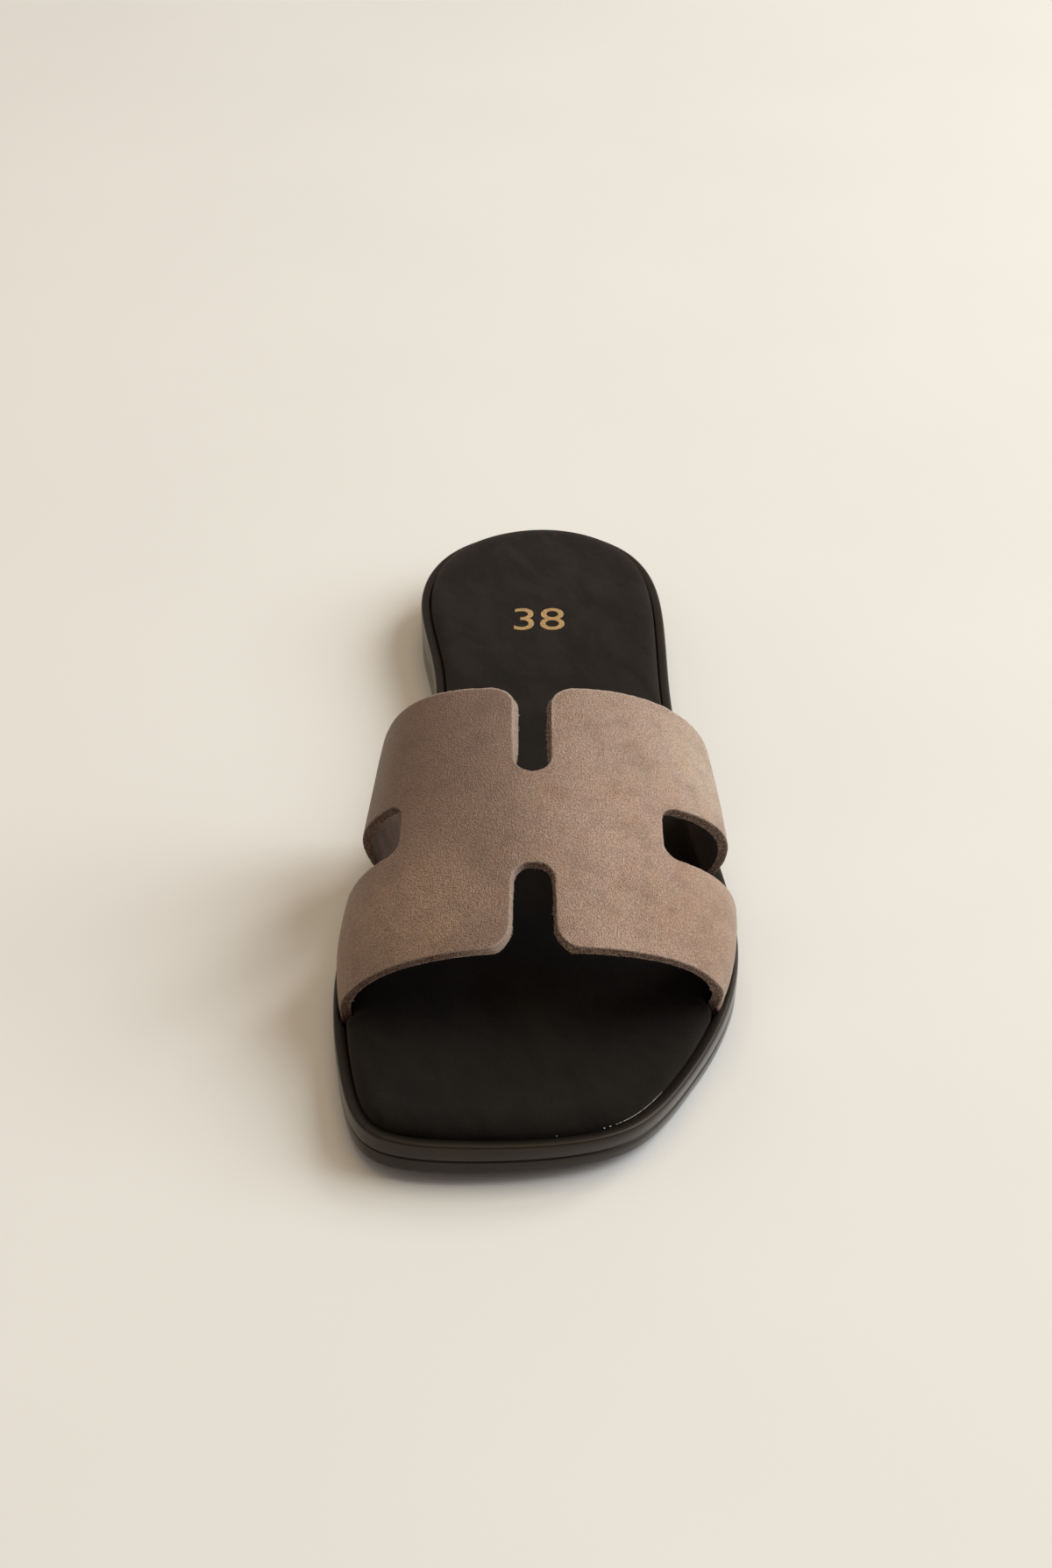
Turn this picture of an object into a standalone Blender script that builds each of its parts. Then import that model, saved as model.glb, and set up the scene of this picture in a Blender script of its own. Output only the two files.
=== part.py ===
"""Slide sandal, left shoe: an H-cut leather upper over a padded insole in a rubber unit sole.

Lengths in the tables are millimetres; every mesh is made in metres with +Z up.
A station is a distance along the foot from the back of the heel, which lies at +Y; the toe points to -Y.
An offset is a distance across the foot, positive (+X) to the lateral side, where the little toe is.
"""

import math

import bmesh
import bpy
import numpy as np

# Driving dimensions
MM = 0.001
SOLE_LENGTH = 252.0
GAP = 0.3
LEATHER = 2.4
RIM_WIDTH = 2.6
TRAY_DEPTH = 3.0
INSOLE_RISE = 3.3
MEDIAL = -1
LATERAL = 1

# Outline of the sole seen from above, from the heel round the lateral side: place, station, offset
SOLE_OUTLINE = (
    ("heel back", 0.0, 1.3),
    ("heel lateral corner", 9.0, 23.2),
    ("heel lateral", 34.0, 33.6),
    ("waist lateral", 92.0, 35.2),
    ("ball lateral back", 150.0, 43.0),
    ("ball lateral", 181.0, 45.7),
    ("little toe", 206.0, 41.6),
    ("toe taper", 229.5, 31.4),
    ("toe lateral corner", 244.5, 20.5),
    ("toe front lateral", 250.6, 6.3),
    ("toe front medial", 251.9, -17.0),
    ("big toe corner", 247.2, -35.0),
    ("big toe", 230.0, -42.2),
    ("ball medial", 201.0, -45.7),
    ("ball medial back", 165.0, -42.0),
    ("waist medial", 88.0, -26.4),
    ("heel medial", 42.0, -31.6),
    ("heel medial corner", 12.0, -23.4),
)
TOE_TIP_ROW = 10
OUTLINE_POINTS_PER_SIDE = 64
SAMPLES_PER_SPAN = 60

# Heights along the sole: place, station, top of the rim, underside
SOLE_LEVELS = (
    ("heel back", 0.0, 15.5, 0.0),
    ("heel middle", 40.0, 15.0, 0.0),
    ("heel breast", 70.0, 13.8, 0.0),
    ("arch", 108.0, 11.7, 2.2),
    ("ball back", 145.0, 9.8, 0.0),
    ("ball", 185.0, 9.0, 0.0),
    ("ball front", 205.0, 9.1, 0.0),
    ("toe tip", SOLE_LENGTH, 11.5, 3.5),
)

# Side of the sole from the tread round to the tray: place, inset, share of the height, lift
SOLE_SIDE = (
    ("tread edge", 0.9, 0.0, 0.0),
    ("tread roll", 0.35, 0.0, 0.25),
    ("lower band foot", 0.2, 0.0, 0.9),
    ("lower band head", 0.25, 0.47, -0.35),
    ("groove", 0.9, 0.47, 0.0),
    ("upper band foot", 0.1, 0.47, 0.35),
    ("upper band", 0.0, 0.75, 0.0),
    ("rim roll", 0.2, 1.0, -0.3),
    ("rim top", 0.7, 1.0, 0.0),
    ("rim inner edge", RIM_WIDTH, 1.0, 0.0),
    ("tray wall", RIM_WIDTH, 1.0, -TRAY_DEPTH),
)

# Side of the insole from its underside to its top: place, inset past the tray gap, lift over the rim
INSOLE_SIDE = (
    ("underside", 0.0, GAP - TRAY_DEPTH),
    ("side", 0.0, 0.2),
    ("bulge", 0.15, 1.3),
    ("shoulder", 0.9, 2.4),
    ("top edge", 2.4, 3.05),
    ("top", 5.5, INSOLE_RISE),
)

# Sections of the upper's outer face from front to rear: place, share of the pattern's depth, station at
# the rim, crown height over the rim, then for each side the half width, the squareness of its shoulder
# and the height over which its leg turns in to its seat, medial side first
UPPER_SECTIONS = (
    ("front edge", 0.0, 208.8, 29.2, 42.7, 2.1, 5.0, 42.3, 2.6, 6.5),
    ("front band", 0.18, 194.4, 33.0, 45.2, 2.4, 16.0, 46.4, 2.95, 14.0),
    ("bridge", 0.5, 169.4, 40.9, 41.8, 2.7, 16.0, 47.6, 2.5, 13.0),
    ("rear edge", 1.0, 133.5, 49.7, 36.4, 3.6, 16.6, 44.2, 2.8, 15.0),
)
SHARE_COLUMN = 1
STATION_COLUMN = 2
CROWN_COLUMN = 3
SIDE_COLUMNS = {MEDIAL: (4, 5, 6), LATERAL: (7, 8, 9)}
PATTERN_DEPTH = 74.0
CROWN_OFFSET = -1.3
SECTION_LEAN = math.radians(18.3)
SECTION_STEPS = 240
LEG_FOOT = TRAY_DEPTH - GAP
LEG_UPRIGHT = 0.9
LEG_TURN = 1.35

# Cut-outs of the flat pattern: widths and reaches in the leather, and their corner radii
FRONT_SLOT_WIDTH = 9.6
FRONT_SLOT_REACH = 21.0
REAR_SLOT_WIDTH = 8.2
REAR_SLOT_REACH = 27.0
NOTCH_FRONT = {MEDIAL: 28.8, LATERAL: 26.0}
NOTCH_FRONT_FOOT = {MEDIAL: 25.5, LATERAL: 26.0}
NOTCH_REAR = {MEDIAL: 42.7, LATERAL: 40.4}
NOTCH_REAR_FOOT = {MEDIAL: 49.8, LATERAL: 48.8}
NOTCH_END = {MEDIAL: 30.6, LATERAL: 29.4}
FRONT_MOUTH_RADIUS = 7.0
REAR_MOUTH_RADIUS = 5.5
SLOT_END_RADIUS = 3.6
NOTCH_END_RADIUS = 3.6
FOOT_RADIUS = 1.2
ARC_STEPS = 4

# Mesh of the leather before it is cut: columns across each half, rows along, crowding towards the legs
HALF_COLUMNS = 20
PATTERN_ROWS = 14
LEG_CROWDING = 1.8
PATTERN_HALF = 76.0
TRIM_MARGIN = 1.5

# Room that the insole leaves round each leg
LEG_ROOM_FRONT = 3.0
LEG_ROOM_BACK = 0.5
LEG_ROOM_STEPS = 8

# Finishes: piece, linear colour, roughness
FINISHES = (
    ("outsole", (0.030, 0.028, 0.026), 0.55),
    ("insole", (0.014, 0.012, 0.011), 0.95),
    ("upper", (0.300, 0.215, 0.170), 0.75),
)
SHARP_ANGLE = math.radians(35.0)


def end_slope(near_step, far_step, near_rise, far_rise):
    """Slope at the end of a table, from its last two spans and held to the direction of the last one."""
    slope = ((2 * near_step + far_step) * near_rise - near_step * far_rise) / (near_step + far_step)
    if slope * near_rise <= 0:
        return 0.0
    return math.copysign(min(abs(slope), 3 * abs(near_rise)), near_rise)


def table_curve(knots, values):
    """Return a smooth curve through a table's column that never overshoots between two rows."""
    knots = np.array(knots, float)
    values = np.array(values, float)
    step = np.diff(knots)
    rise = np.diff(values) / step
    slope = np.zeros(len(knots))
    slope[0] = end_slope(step[0], step[1], rise[0], rise[1])
    slope[-1] = end_slope(step[-1], step[-2], rise[-1], rise[-2])
    for row in range(1, len(knots) - 1):
        if rise[row - 1] * rise[row] > 0:
            before = 2 * step[row] + step[row - 1]
            after = step[row] + 2 * step[row - 1]
            slope[row] = (before + after) / (before / rise[row - 1] + after / rise[row])

    def curve(at):
        at = np.clip(at, knots[0], knots[-1])
        row = np.clip(np.searchsorted(knots, at) - 1, 0, len(step) - 1)
        share = (at - knots[row]) / step[row]
        ease = share * share * (3 - 2 * share)
        leave = share * (1 - share) ** 2 * step[row] * slope[row]
        arrive = share * share * (share - 1) * step[row] * slope[row + 1]
        return values[row] * (1 - ease) + values[row + 1] * ease + leave + arrive

    return curve


RIM_TOP = table_curve([row[1] for row in SOLE_LEVELS], [row[2] for row in SOLE_LEVELS])
UNDERSIDE = table_curve([row[1] for row in SOLE_LEVELS], [row[3] for row in SOLE_LEVELS])


def upper_size(column, share):
    """Size from a column of the upper's table at a share of the pattern's depth."""
    shares = [row[SHARE_COLUMN] for row in UPPER_SECTIONS]
    return table_curve(shares, [row[column] for row in UPPER_SECTIONS])(share)


def closed_spline(points):
    """Sample a smooth closed curve through the points; every point keeps its place in the samples."""
    following = np.roll(points, -1, axis=0)
    span = np.linalg.norm(following - points, axis=1) ** 0.5
    chord = (following - points) / span[:, None]
    count = len(points)
    matrix = np.zeros((count, count))
    for row in range(count):
        matrix[row, row - 1] = span[row - 1]
        matrix[row, row] = 2 * (span[row - 1] + span[row])
        matrix[row, (row + 1) % count] = span[row]
    bend = np.linalg.solve(matrix, 6 * (chord - np.roll(chord, 1, axis=0)))
    share = np.linspace(0, 1, SAMPLES_PER_SPAN, endpoint=False)[:, None]
    spans = []
    for row in range(count):
        here = bend[row]
        there = bend[(row + 1) % count]
        straight = points[row] * (1 - share) + following[row] * share
        sway = ((1 - share) ** 3 - (1 - share)) * here + (share ** 3 - share) * there
        spans.append(straight + sway * span[row] ** 2 / 6)
    return np.concatenate(spans)


def even_steps(path, steps):
    """Points at equal distances along an open path, without its last point."""
    run = np.concatenate([[0], np.cumsum(np.linalg.norm(np.diff(path, axis=0), axis=1))])
    at = np.linspace(0, run[-1], steps, endpoint=False)
    return np.stack([np.interp(at, run, path[:, axis]) for axis in (0, 1)], axis=1)


def sole_outline():
    """Outline of the sole as (offset, station), equal counts on both sides, centred across the foot."""
    samples = closed_spline(np.array([(row[2], row[1]) for row in SOLE_OUTLINE]))
    toe = TOE_TIP_ROW * SAMPLES_PER_SPAN
    lateral_side = samples[:toe + 1]
    medial_side = np.concatenate([samples[toe:], samples[:1]])
    sides = [even_steps(side, OUTLINE_POINTS_PER_SIDE) for side in (lateral_side, medial_side)]
    outline = np.concatenate(sides)
    low = outline.min(axis=0)
    high = outline.max(axis=0)
    outline[:, 0] -= (low[0] + high[0]) / 2
    outline[:, 1] = (outline[:, 1] - low[1]) * SOLE_LENGTH / (high[1] - low[1])
    return outline


OUTLINE = sole_outline()


def inset_outline(inset):
    """The sole's outline moved inwards by the inset."""
    along = np.roll(OUTLINE, -1, axis=0) - np.roll(OUTLINE, 1, axis=0)
    along /= np.linalg.norm(along, axis=1)[:, None]
    inwards = np.stack([-along[:, 1], along[:, 0]], axis=1)
    return OUTLINE + inset * inwards


def edge_offset(inset, station, side):
    """Offset of the inset outline at a station, on the medial or the lateral side."""
    ring = inset_outline(inset)
    middle = OUTLINE_POINTS_PER_SIDE
    run = ring[:middle + 1] if side == LATERAL else np.concatenate([ring[middle:], ring[:1]])[::-1]
    return np.interp(station, run[:, 1], run[:, 0])


def to_frame(offset, station, height):
    """Turn offsets, stations and heights into points of the shoe's frame."""
    return np.stack([offset, SOLE_LENGTH / 2 - station, height], axis=-1)


def sole_ring(inset, share, lift):
    """Ring round the sole at an inset, at a share of its height between underside and rim, plus a lift."""
    offset, station = inset_outline(inset).T
    bottom = UNDERSIDE(station)
    height = bottom + share * (RIM_TOP(station) - bottom) + lift
    return to_frame(offset, station, height)


def loft(name, rings):
    """Closed mesh over a stack of rings; each end is closed by rungs between its two sides."""
    mesh = bmesh.new()
    levels = [[mesh.verts.new(point * MM) for point in ring] for ring in rings]
    count = len(levels[0])
    for lower, upper in zip(levels, levels[1:]):
        for point in range(count):
            after = (point + 1) % count
            mesh.faces.new((lower[point], lower[after], upper[after], upper[point]))
    for level in (levels[0], levels[-1]):
        for rung in range(count // 2):
            corners = (level[rung], level[rung + 1], level[-rung - 1], level[-rung])
            mesh.faces.new(list(dict.fromkeys(corners)))
    bmesh.ops.recalc_face_normals(mesh, faces=mesh.faces)
    return finish_mesh(name, mesh)


def finish_mesh(name, mesh):
    """Write a bmesh to a new object and drop the bmesh."""
    data = bpy.data.meshes.new(name)
    mesh.to_mesh(data)
    mesh.free()
    return bpy.data.objects.new(name, data)


def build_outsole():
    """Rubber unit sole: a wall with a groove, a flat rim and a shallow tray for the insole."""
    return loft("outsole", [sole_ring(*row[1:]) for row in SOLE_SIDE])


def build_insole():
    """Padded insole that fills the tray and stands over the rim with a rounded edge."""
    rings = [sole_ring(RIM_WIDTH + GAP + inset, 1.0, lift) for place, inset, lift in INSOLE_SIDE]
    return loft("insole", rings)


def half_section(share, side):
    """One half of a section of the upper's outer face, from the crown down to the end of the leg."""
    base = upper_size(STATION_COLUMN, share)
    crown = upper_size(CROWN_COLUMN, share)
    half_width, squareness, tuck_height = (upper_size(column, share) for column in SIDE_COLUMNS[side])
    seat = side * (edge_offset(RIM_WIDTH + GAP, base, side) - CROWN_OFFSET)
    rise = crown * np.sin(np.linspace(math.pi / 2, 0, SECTION_STEPS))
    reach = half_width * np.clip(1 - (rise / crown) ** squareness, 0, 1) ** (1 / squareness)
    turned = np.clip((rise - LEG_UPRIGHT) / tuck_height, 0, 1)
    reach -= (half_width - seat) * (1 - turned) ** LEG_TURN
    offset = CROWN_OFFSET + side * reach
    station = base + rise * math.sin(SECTION_LEAN)
    height = RIM_TOP(base) + rise * math.cos(SECTION_LEAN)
    leg = to_frame(offset, station, height)
    foot = leg[-1] - (0, 0, LEG_FOOT)
    return np.concatenate([leg, [foot]])


SECTION_STORE = {}


def section_run(depth, side):
    """A half section at a depth of the pattern, with the distance of each of its points from the crown."""
    key = (round(depth, 4), side)
    if key not in SECTION_STORE:
        points = half_section(depth / PATTERN_DEPTH, side)
        run = np.concatenate([[0], np.cumsum(np.linalg.norm(np.diff(points, axis=0), axis=1))])
        SECTION_STORE[key] = (points, run)
    return SECTION_STORE[key]


def leg_length(depth, side):
    """Length of the leather from the crown to the end of the leg."""
    return section_run(depth, side)[1][-1]


def outer_point(across, depth):
    """Point of the outer face; across is a share of the leg's length, negative on the medial side."""
    points, run = section_run(depth, LATERAL if across >= 0 else MEDIAL)
    at = min(abs(across), 1.0) * run[-1]
    return np.array([np.interp(at, run, points[:, axis]) for axis in range(3)])


def outward(across, depth):
    """Unit normal of the outer face, away from the foot."""
    side_step = 0.006
    depth_step = 0.5
    left = outer_point(max(across - side_step, -1), depth)
    right = outer_point(min(across + side_step, 1), depth)
    front = outer_point(across, max(depth - depth_step, 0))
    rear = outer_point(across, min(depth + depth_step, PATTERN_DEPTH))
    normal = np.cross(right - left, rear - front)
    return normal / np.linalg.norm(normal)


def wear(across, depth, below):
    """Place of a point of the flat leather on the foot, below the outer face by a distance."""
    return outer_point(across, depth) - below * outward(across, depth)


def half_pattern(side):
    """Corners of one half of the flat H, from front slot to rear slot: share of the leg, depth, radius."""
    front_slot = FRONT_SLOT_WIDTH / 2
    rear_slot = REAR_SLOT_WIDTH / 2
    notch_end = NOTCH_END[side]
    front_foot = NOTCH_FRONT_FOOT[side]
    rear_foot = NOTCH_REAR_FOOT[side]
    corners = (
        (front_slot, FRONT_SLOT_REACH, SLOT_END_RADIUS),
        (front_slot, 0.0, FRONT_MOUTH_RADIUS),
        (leg_length(0.0, side), 0.0, FOOT_RADIUS),
        (leg_length(front_foot, side), front_foot, FOOT_RADIUS),
        (notch_end, NOTCH_FRONT[side], NOTCH_END_RADIUS),
        (notch_end, NOTCH_REAR[side], NOTCH_END_RADIUS),
        (leg_length(rear_foot, side), rear_foot, FOOT_RADIUS),
        (leg_length(PATTERN_DEPTH, side), PATTERN_DEPTH, FOOT_RADIUS),
        (rear_slot, PATTERN_DEPTH, REAR_MOUTH_RADIUS),
        (rear_slot, PATTERN_DEPTH - REAR_SLOT_REACH, SLOT_END_RADIUS),
    )
    return [(side * reach / leg_length(depth, side), depth, radius) for reach, depth, radius in corners]


def rounded(corners):
    """Closed outline through the corners, each turned by an arc of its radius."""
    points = []
    for index, (x, y, radius) in enumerate(corners):
        here = np.array((x, y))
        before = np.array(corners[index - 1][:2]) - here
        after = np.array(corners[(index + 1) % len(corners)][:2]) - here
        before /= np.linalg.norm(before)
        after /= np.linalg.norm(after)
        opening = math.acos(np.clip(before @ after, -1, 1))
        middle = (before + after) / np.linalg.norm(before + after)
        centre = here + middle * radius / math.sin(opening / 2)
        start = here + before * radius / math.tan(opening / 2) - centre
        finish = here + after * radius / math.tan(opening / 2) - centre
        turn = math.pi - opening
        for step in range(ARC_STEPS + 1):
            angle = turn * step / ARC_STEPS
            mixed = start * math.sin(turn - angle) + finish * math.sin(angle)
            points.append(centre + mixed / math.sin(turn))
    return points


def prism(name, outline, bottom, top, cutters):
    """Closed prism over a flat outline, from a filled 2D curve, kept as a hidden cutter."""
    curve = bpy.data.curves.new(name, "CURVE")
    curve.dimensions = "2D"
    curve.fill_mode = "BOTH"
    curve.extrude = (top - bottom) / 2 * MM
    spline = curve.splines.new("POLY")
    spline.points.add(len(outline) - 1)
    for point, (x, y) in zip(spline.points, outline):
        point.co = (x * MM, y * MM, 0, 1)
    spline.use_cyclic_u = True
    flat = bpy.data.objects.new(name + "_outline", curve)
    cutters.objects.link(flat)
    graph = bpy.context.evaluated_depsgraph_get()
    data = bpy.data.meshes.new_from_object(flat.evaluated_get(graph))
    bpy.data.objects.remove(flat)
    mesh = bmesh.new()
    mesh.from_mesh(data)
    bpy.data.meshes.remove(data)
    bmesh.ops.remove_doubles(mesh, verts=mesh.verts, dist=1e-7)
    bmesh.ops.translate(mesh, verts=mesh.verts, vec=(0, 0, (top + bottom) / 2 * MM))
    bmesh.ops.recalc_face_normals(mesh, faces=mesh.faces)
    cutter = finish_mesh(name, mesh)
    cutter.hide_render = True
    cutter.display_type = "WIRE"
    cutters.objects.link(cutter)
    return cutter


def cut(target, cutter, operation):
    """Add an exact Boolean to an object."""
    boolean = target.modifiers.new(cutter.name, "BOOLEAN")
    boolean.operation = operation
    boolean.solver = "EXACT"
    boolean.object = cutter


def leather_sheet():
    """Flat sheet of leather, gridded more finely towards the legs; its top is the outer face."""
    mesh = bmesh.new()
    bmesh.ops.create_grid(mesh, x_segments=2 * HALF_COLUMNS, y_segments=PATTERN_ROWS, size=1.0)
    for vert in mesh.verts:
        crowded = 1 - (1 - min(abs(vert.co.x), 1)) ** LEG_CROWDING
        vert.co.x = math.copysign(crowded, vert.co.x) * (PATTERN_HALF + TRIM_MARGIN) * MM
        depth = (vert.co.y + 1) / 2 * (PATTERN_DEPTH + 2 * TRIM_MARGIN) - TRIM_MARGIN
        vert.co.y = depth * MM
    top = list(mesh.faces)
    wall = bmesh.ops.extrude_face_region(mesh, geom=top)
    bottom = [item for item in wall["geom"] if isinstance(item, bmesh.types.BMVert)]
    bmesh.ops.translate(mesh, verts=bottom, vec=(0, 0, -LEATHER * MM))
    bmesh.ops.recalc_face_normals(mesh, faces=mesh.faces)
    return finish_mesh("upper_sheet", mesh)


def build_upper(cutters):
    """Leather upper: a flat sheet cut to the H and then bent over the foot."""
    sheet = leather_sheet()
    cutters.objects.link(sheet)
    around = half_pattern(LATERAL) + half_pattern(MEDIAL)[::-1]
    corners = [(share * PATTERN_HALF, depth, radius) for share, depth, radius in around]
    knife = prism("upper_knife", rounded(corners), -2 * LEATHER, LEATHER, cutters)
    cut(sheet, knife, "INTERSECT")
    graph = bpy.context.evaluated_depsgraph_get()
    worn = bpy.data.meshes.new_from_object(sheet.evaluated_get(graph))
    bpy.data.objects.remove(sheet)
    for vert in worn.vertices:
        x, y, z = np.array(vert.co) / MM
        vert.co = wear(x / PATTERN_HALF, y, -z) * MM
    return bpy.data.objects.new("upper", worn)


def leg_room(name, front_depth, rear_depth, side, cutters):
    """Cutter that makes room in the insole for one leg of the upper."""
    ahead = upper_size(STATION_COLUMN, front_depth / PATTERN_DEPTH) + LEG_ROOM_FRONT
    behind = upper_size(STATION_COLUMN, rear_depth / PATTERN_DEPTH) - LEG_ROOM_BACK
    stations = np.linspace(behind, ahead, LEG_ROOM_STEPS)
    inner = [edge_offset(RIM_WIDTH + LEATHER + 2 * GAP, station, side) for station in stations]
    outer = [edge_offset(0, station, side) for station in stations]
    outline = list(zip(inner, stations)) + list(zip(outer, stations))[::-1]
    placed = [(offset, SOLE_LENGTH / 2 - station) for offset, station in outline]
    top = 2 * max(row[2] for row in SOLE_LEVELS)
    return prism(name, placed, 0, top, cutters)


def finish_piece(name, colour, roughness):
    """Give a piece its material and smooth shading."""
    piece = bpy.data.objects[name]
    material = bpy.data.materials.new(name)
    material.use_nodes = True
    shader = material.node_tree.nodes["Principled BSDF"]
    shader.inputs["Base Color"].default_value = (*colour, 1)
    shader.inputs["Roughness"].default_value = roughness
    shader.inputs["Metallic"].default_value = 0.0
    piece.data.materials.clear()
    piece.data.materials.append(material)
    piece.data.shade_smooth()
    piece.data.set_sharp_from_angle(angle=SHARP_ANGLE)


def main():
    """Build the three pieces."""
    for item in list(bpy.data.objects):
        bpy.data.objects.remove(item)
    parts = bpy.data.collections.new("slide_sandal")
    cutters = bpy.data.collections.new("cutters")
    bpy.context.scene.collection.children.link(parts)
    bpy.context.scene.collection.children.link(cutters)

    insole = build_insole()
    for piece in (build_outsole(), insole, build_upper(cutters)):
        parts.objects.link(piece)
    for side_name, side in (("medial", MEDIAL), ("lateral", LATERAL)):
        legs = (("front", 0.0, NOTCH_FRONT_FOOT[side]), ("rear", NOTCH_REAR_FOOT[side], PATTERN_DEPTH))
        for leg_name, front_depth, rear_depth in legs:
            name = f"leg_room_{side_name}_{leg_name}"
            cut(insole, leg_room(name, front_depth, rear_depth, side, cutters), "DIFFERENCE")

    for finish in FINISHES:
        finish_piece(*finish)


main()
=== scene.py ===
# %% [markdown]
# # A leather slide sandal, left shoe
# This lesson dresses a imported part. The shoe is a flat slide: one strap of thick leather, cut like an H
# and bent over the foot, a padded insole covered in black suede, and a moulded rubber sole.
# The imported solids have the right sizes, so they stay where they are as a frame to work on.
# Each step models one finer piece over its solid, gives it a finish, and prints what it made.

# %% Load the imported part
import math

import bmesh
import bpy
import numpy as np
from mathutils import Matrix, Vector, kdtree, noise


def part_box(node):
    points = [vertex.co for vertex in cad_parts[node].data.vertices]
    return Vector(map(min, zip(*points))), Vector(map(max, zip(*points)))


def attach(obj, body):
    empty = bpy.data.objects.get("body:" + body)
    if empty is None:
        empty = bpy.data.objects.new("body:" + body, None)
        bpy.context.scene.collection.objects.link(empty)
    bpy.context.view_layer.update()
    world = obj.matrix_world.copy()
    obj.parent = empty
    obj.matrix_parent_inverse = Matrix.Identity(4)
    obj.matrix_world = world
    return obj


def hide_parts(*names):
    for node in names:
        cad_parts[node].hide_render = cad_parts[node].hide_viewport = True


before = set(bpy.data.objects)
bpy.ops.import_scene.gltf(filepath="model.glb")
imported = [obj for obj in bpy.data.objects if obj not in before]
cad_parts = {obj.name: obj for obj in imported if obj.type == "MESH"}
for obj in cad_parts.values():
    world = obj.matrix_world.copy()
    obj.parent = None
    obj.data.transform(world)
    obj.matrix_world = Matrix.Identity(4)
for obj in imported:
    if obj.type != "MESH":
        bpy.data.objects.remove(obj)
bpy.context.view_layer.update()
print("packed nodes:", sorted(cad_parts))

# %% [markdown]
# ## The measures that the pieces share
# A shoemaker starts from a few measures: the outline of the sole, its heights along the foot, and the
# form that the leather is bent over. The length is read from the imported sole. The other measures are the
# ones that the solids were made from, so that every fine piece lies on its solid. Lengths are millimetres
# until a vertex is placed. A station is a distance from the back of the heel, which lies at +Y, and an
# offset is a distance across the foot, positive (+X) to the little toe's side.

# %% Sizes of the sole and the insole
MM = 0.001
MEDIAL = -1
LATERAL = 1
sole_low, sole_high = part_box("outsole")
SOLE_LENGTH = (sole_high.y - sole_low.y) / MM
GAP = 0.3
LEATHER = 2.4
RIM_WIDTH = 2.6
TRAY_DEPTH = 3.0
INSOLE_RISE = 3.3

# Outline of the sole from the heel round the lateral side: place, station, offset
SOLE_OUTLINE = (
    ("heel back", 0.0, 1.3),
    ("heel lateral corner", 9.0, 23.2),
    ("heel lateral", 34.0, 33.6),
    ("waist lateral", 92.0, 35.2),
    ("ball lateral back", 150.0, 43.0),
    ("ball lateral", 181.0, 45.7),
    ("little toe", 206.0, 41.6),
    ("toe taper", 229.5, 31.4),
    ("toe lateral corner", 244.5, 20.5),
    ("toe front lateral", 250.6, 6.3),
    ("toe front medial", 251.9, -17.0),
    ("big toe corner", 247.2, -35.0),
    ("big toe", 230.0, -42.2),
    ("ball medial", 201.0, -45.7),
    ("ball medial back", 165.0, -42.0),
    ("waist medial", 88.0, -26.4),
    ("heel medial", 42.0, -31.6),
    ("heel medial corner", 12.0, -23.4),
)
TOE_TIP_ROW = 10
POINTS_PER_SIDE = 240
SAMPLES_PER_SPAN = 60

# Heights along the sole: place, station, top of the rim, underside
SOLE_LEVELS = (
    ("heel back", 0.0, 15.5, 0.0),
    ("heel middle", 40.0, 15.0, 0.0),
    ("heel breast", 70.0, 13.8, 0.0),
    ("arch", 108.0, 11.7, 2.2),
    ("ball back", 145.0, 9.8, 0.0),
    ("ball", 185.0, 9.0, 0.0),
    ("ball front", 205.0, 9.1, 0.0),
    ("toe tip", 252.0, 11.5, 3.5),
)
print("sole length, mm:", round(SOLE_LENGTH, 1))

# %% [markdown]
# A table gives only a few rows, and the shoe is smooth between them. A curve that eases from row to row
# and never overshoots keeps flat stretches flat, such as the tread under the heel. For the outline a
# closed spline is better: it passes through every point and its curvature flows round the toe.

# %% Smooth curves through the tables
def ease(share):
    """Ease a share from 0 to 1, clamped, with no slope at either end."""
    share = np.clip(share, 0, 1)
    return share * share * (3 - 2 * share)


def end_slope(near_step, far_step, near_rise, far_rise):
    """Slope at the end of a table, held to the direction of its last span."""
    slope = ((2 * near_step + far_step) * near_rise - near_step * far_rise) / (near_step + far_step)
    if slope * near_rise <= 0:
        return 0.0
    return math.copysign(min(abs(slope), 3 * abs(near_rise)), near_rise)


def table_curve(knots, values):
    """Return a smooth curve through a table's column that never overshoots between two rows."""
    knots = np.array(knots, float)
    values = np.array(values, float)
    step = np.diff(knots)
    rise = np.diff(values) / step
    slope = np.zeros(len(knots))
    slope[0] = end_slope(step[0], step[1], rise[0], rise[1])
    slope[-1] = end_slope(step[-1], step[-2], rise[-1], rise[-2])
    for row in range(1, len(knots) - 1):
        if rise[row - 1] * rise[row] > 0:
            before = 2 * step[row] + step[row - 1]
            after = step[row] + 2 * step[row - 1]
            slope[row] = (before + after) / (before / rise[row - 1] + after / rise[row])

    def curve(at):
        at = np.clip(at, knots[0], knots[-1])
        row = np.clip(np.searchsorted(knots, at) - 1, 0, len(step) - 1)
        share = (at - knots[row]) / step[row]
        eased = ease(share)
        leave = share * (1 - share) ** 2 * step[row] * slope[row]
        arrive = share * share * (share - 1) * step[row] * slope[row + 1]
        return values[row] * (1 - eased) + values[row + 1] * eased + leave + arrive

    return curve


RIM_TOP = table_curve([row[1] for row in SOLE_LEVELS], [row[2] for row in SOLE_LEVELS])
UNDERSIDE = table_curve([row[1] for row in SOLE_LEVELS], [row[3] for row in SOLE_LEVELS])
print("rim height at heel, waist, ball, toe:", RIM_TOP(np.array([0, 108, 185, 252])).round(1))


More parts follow.
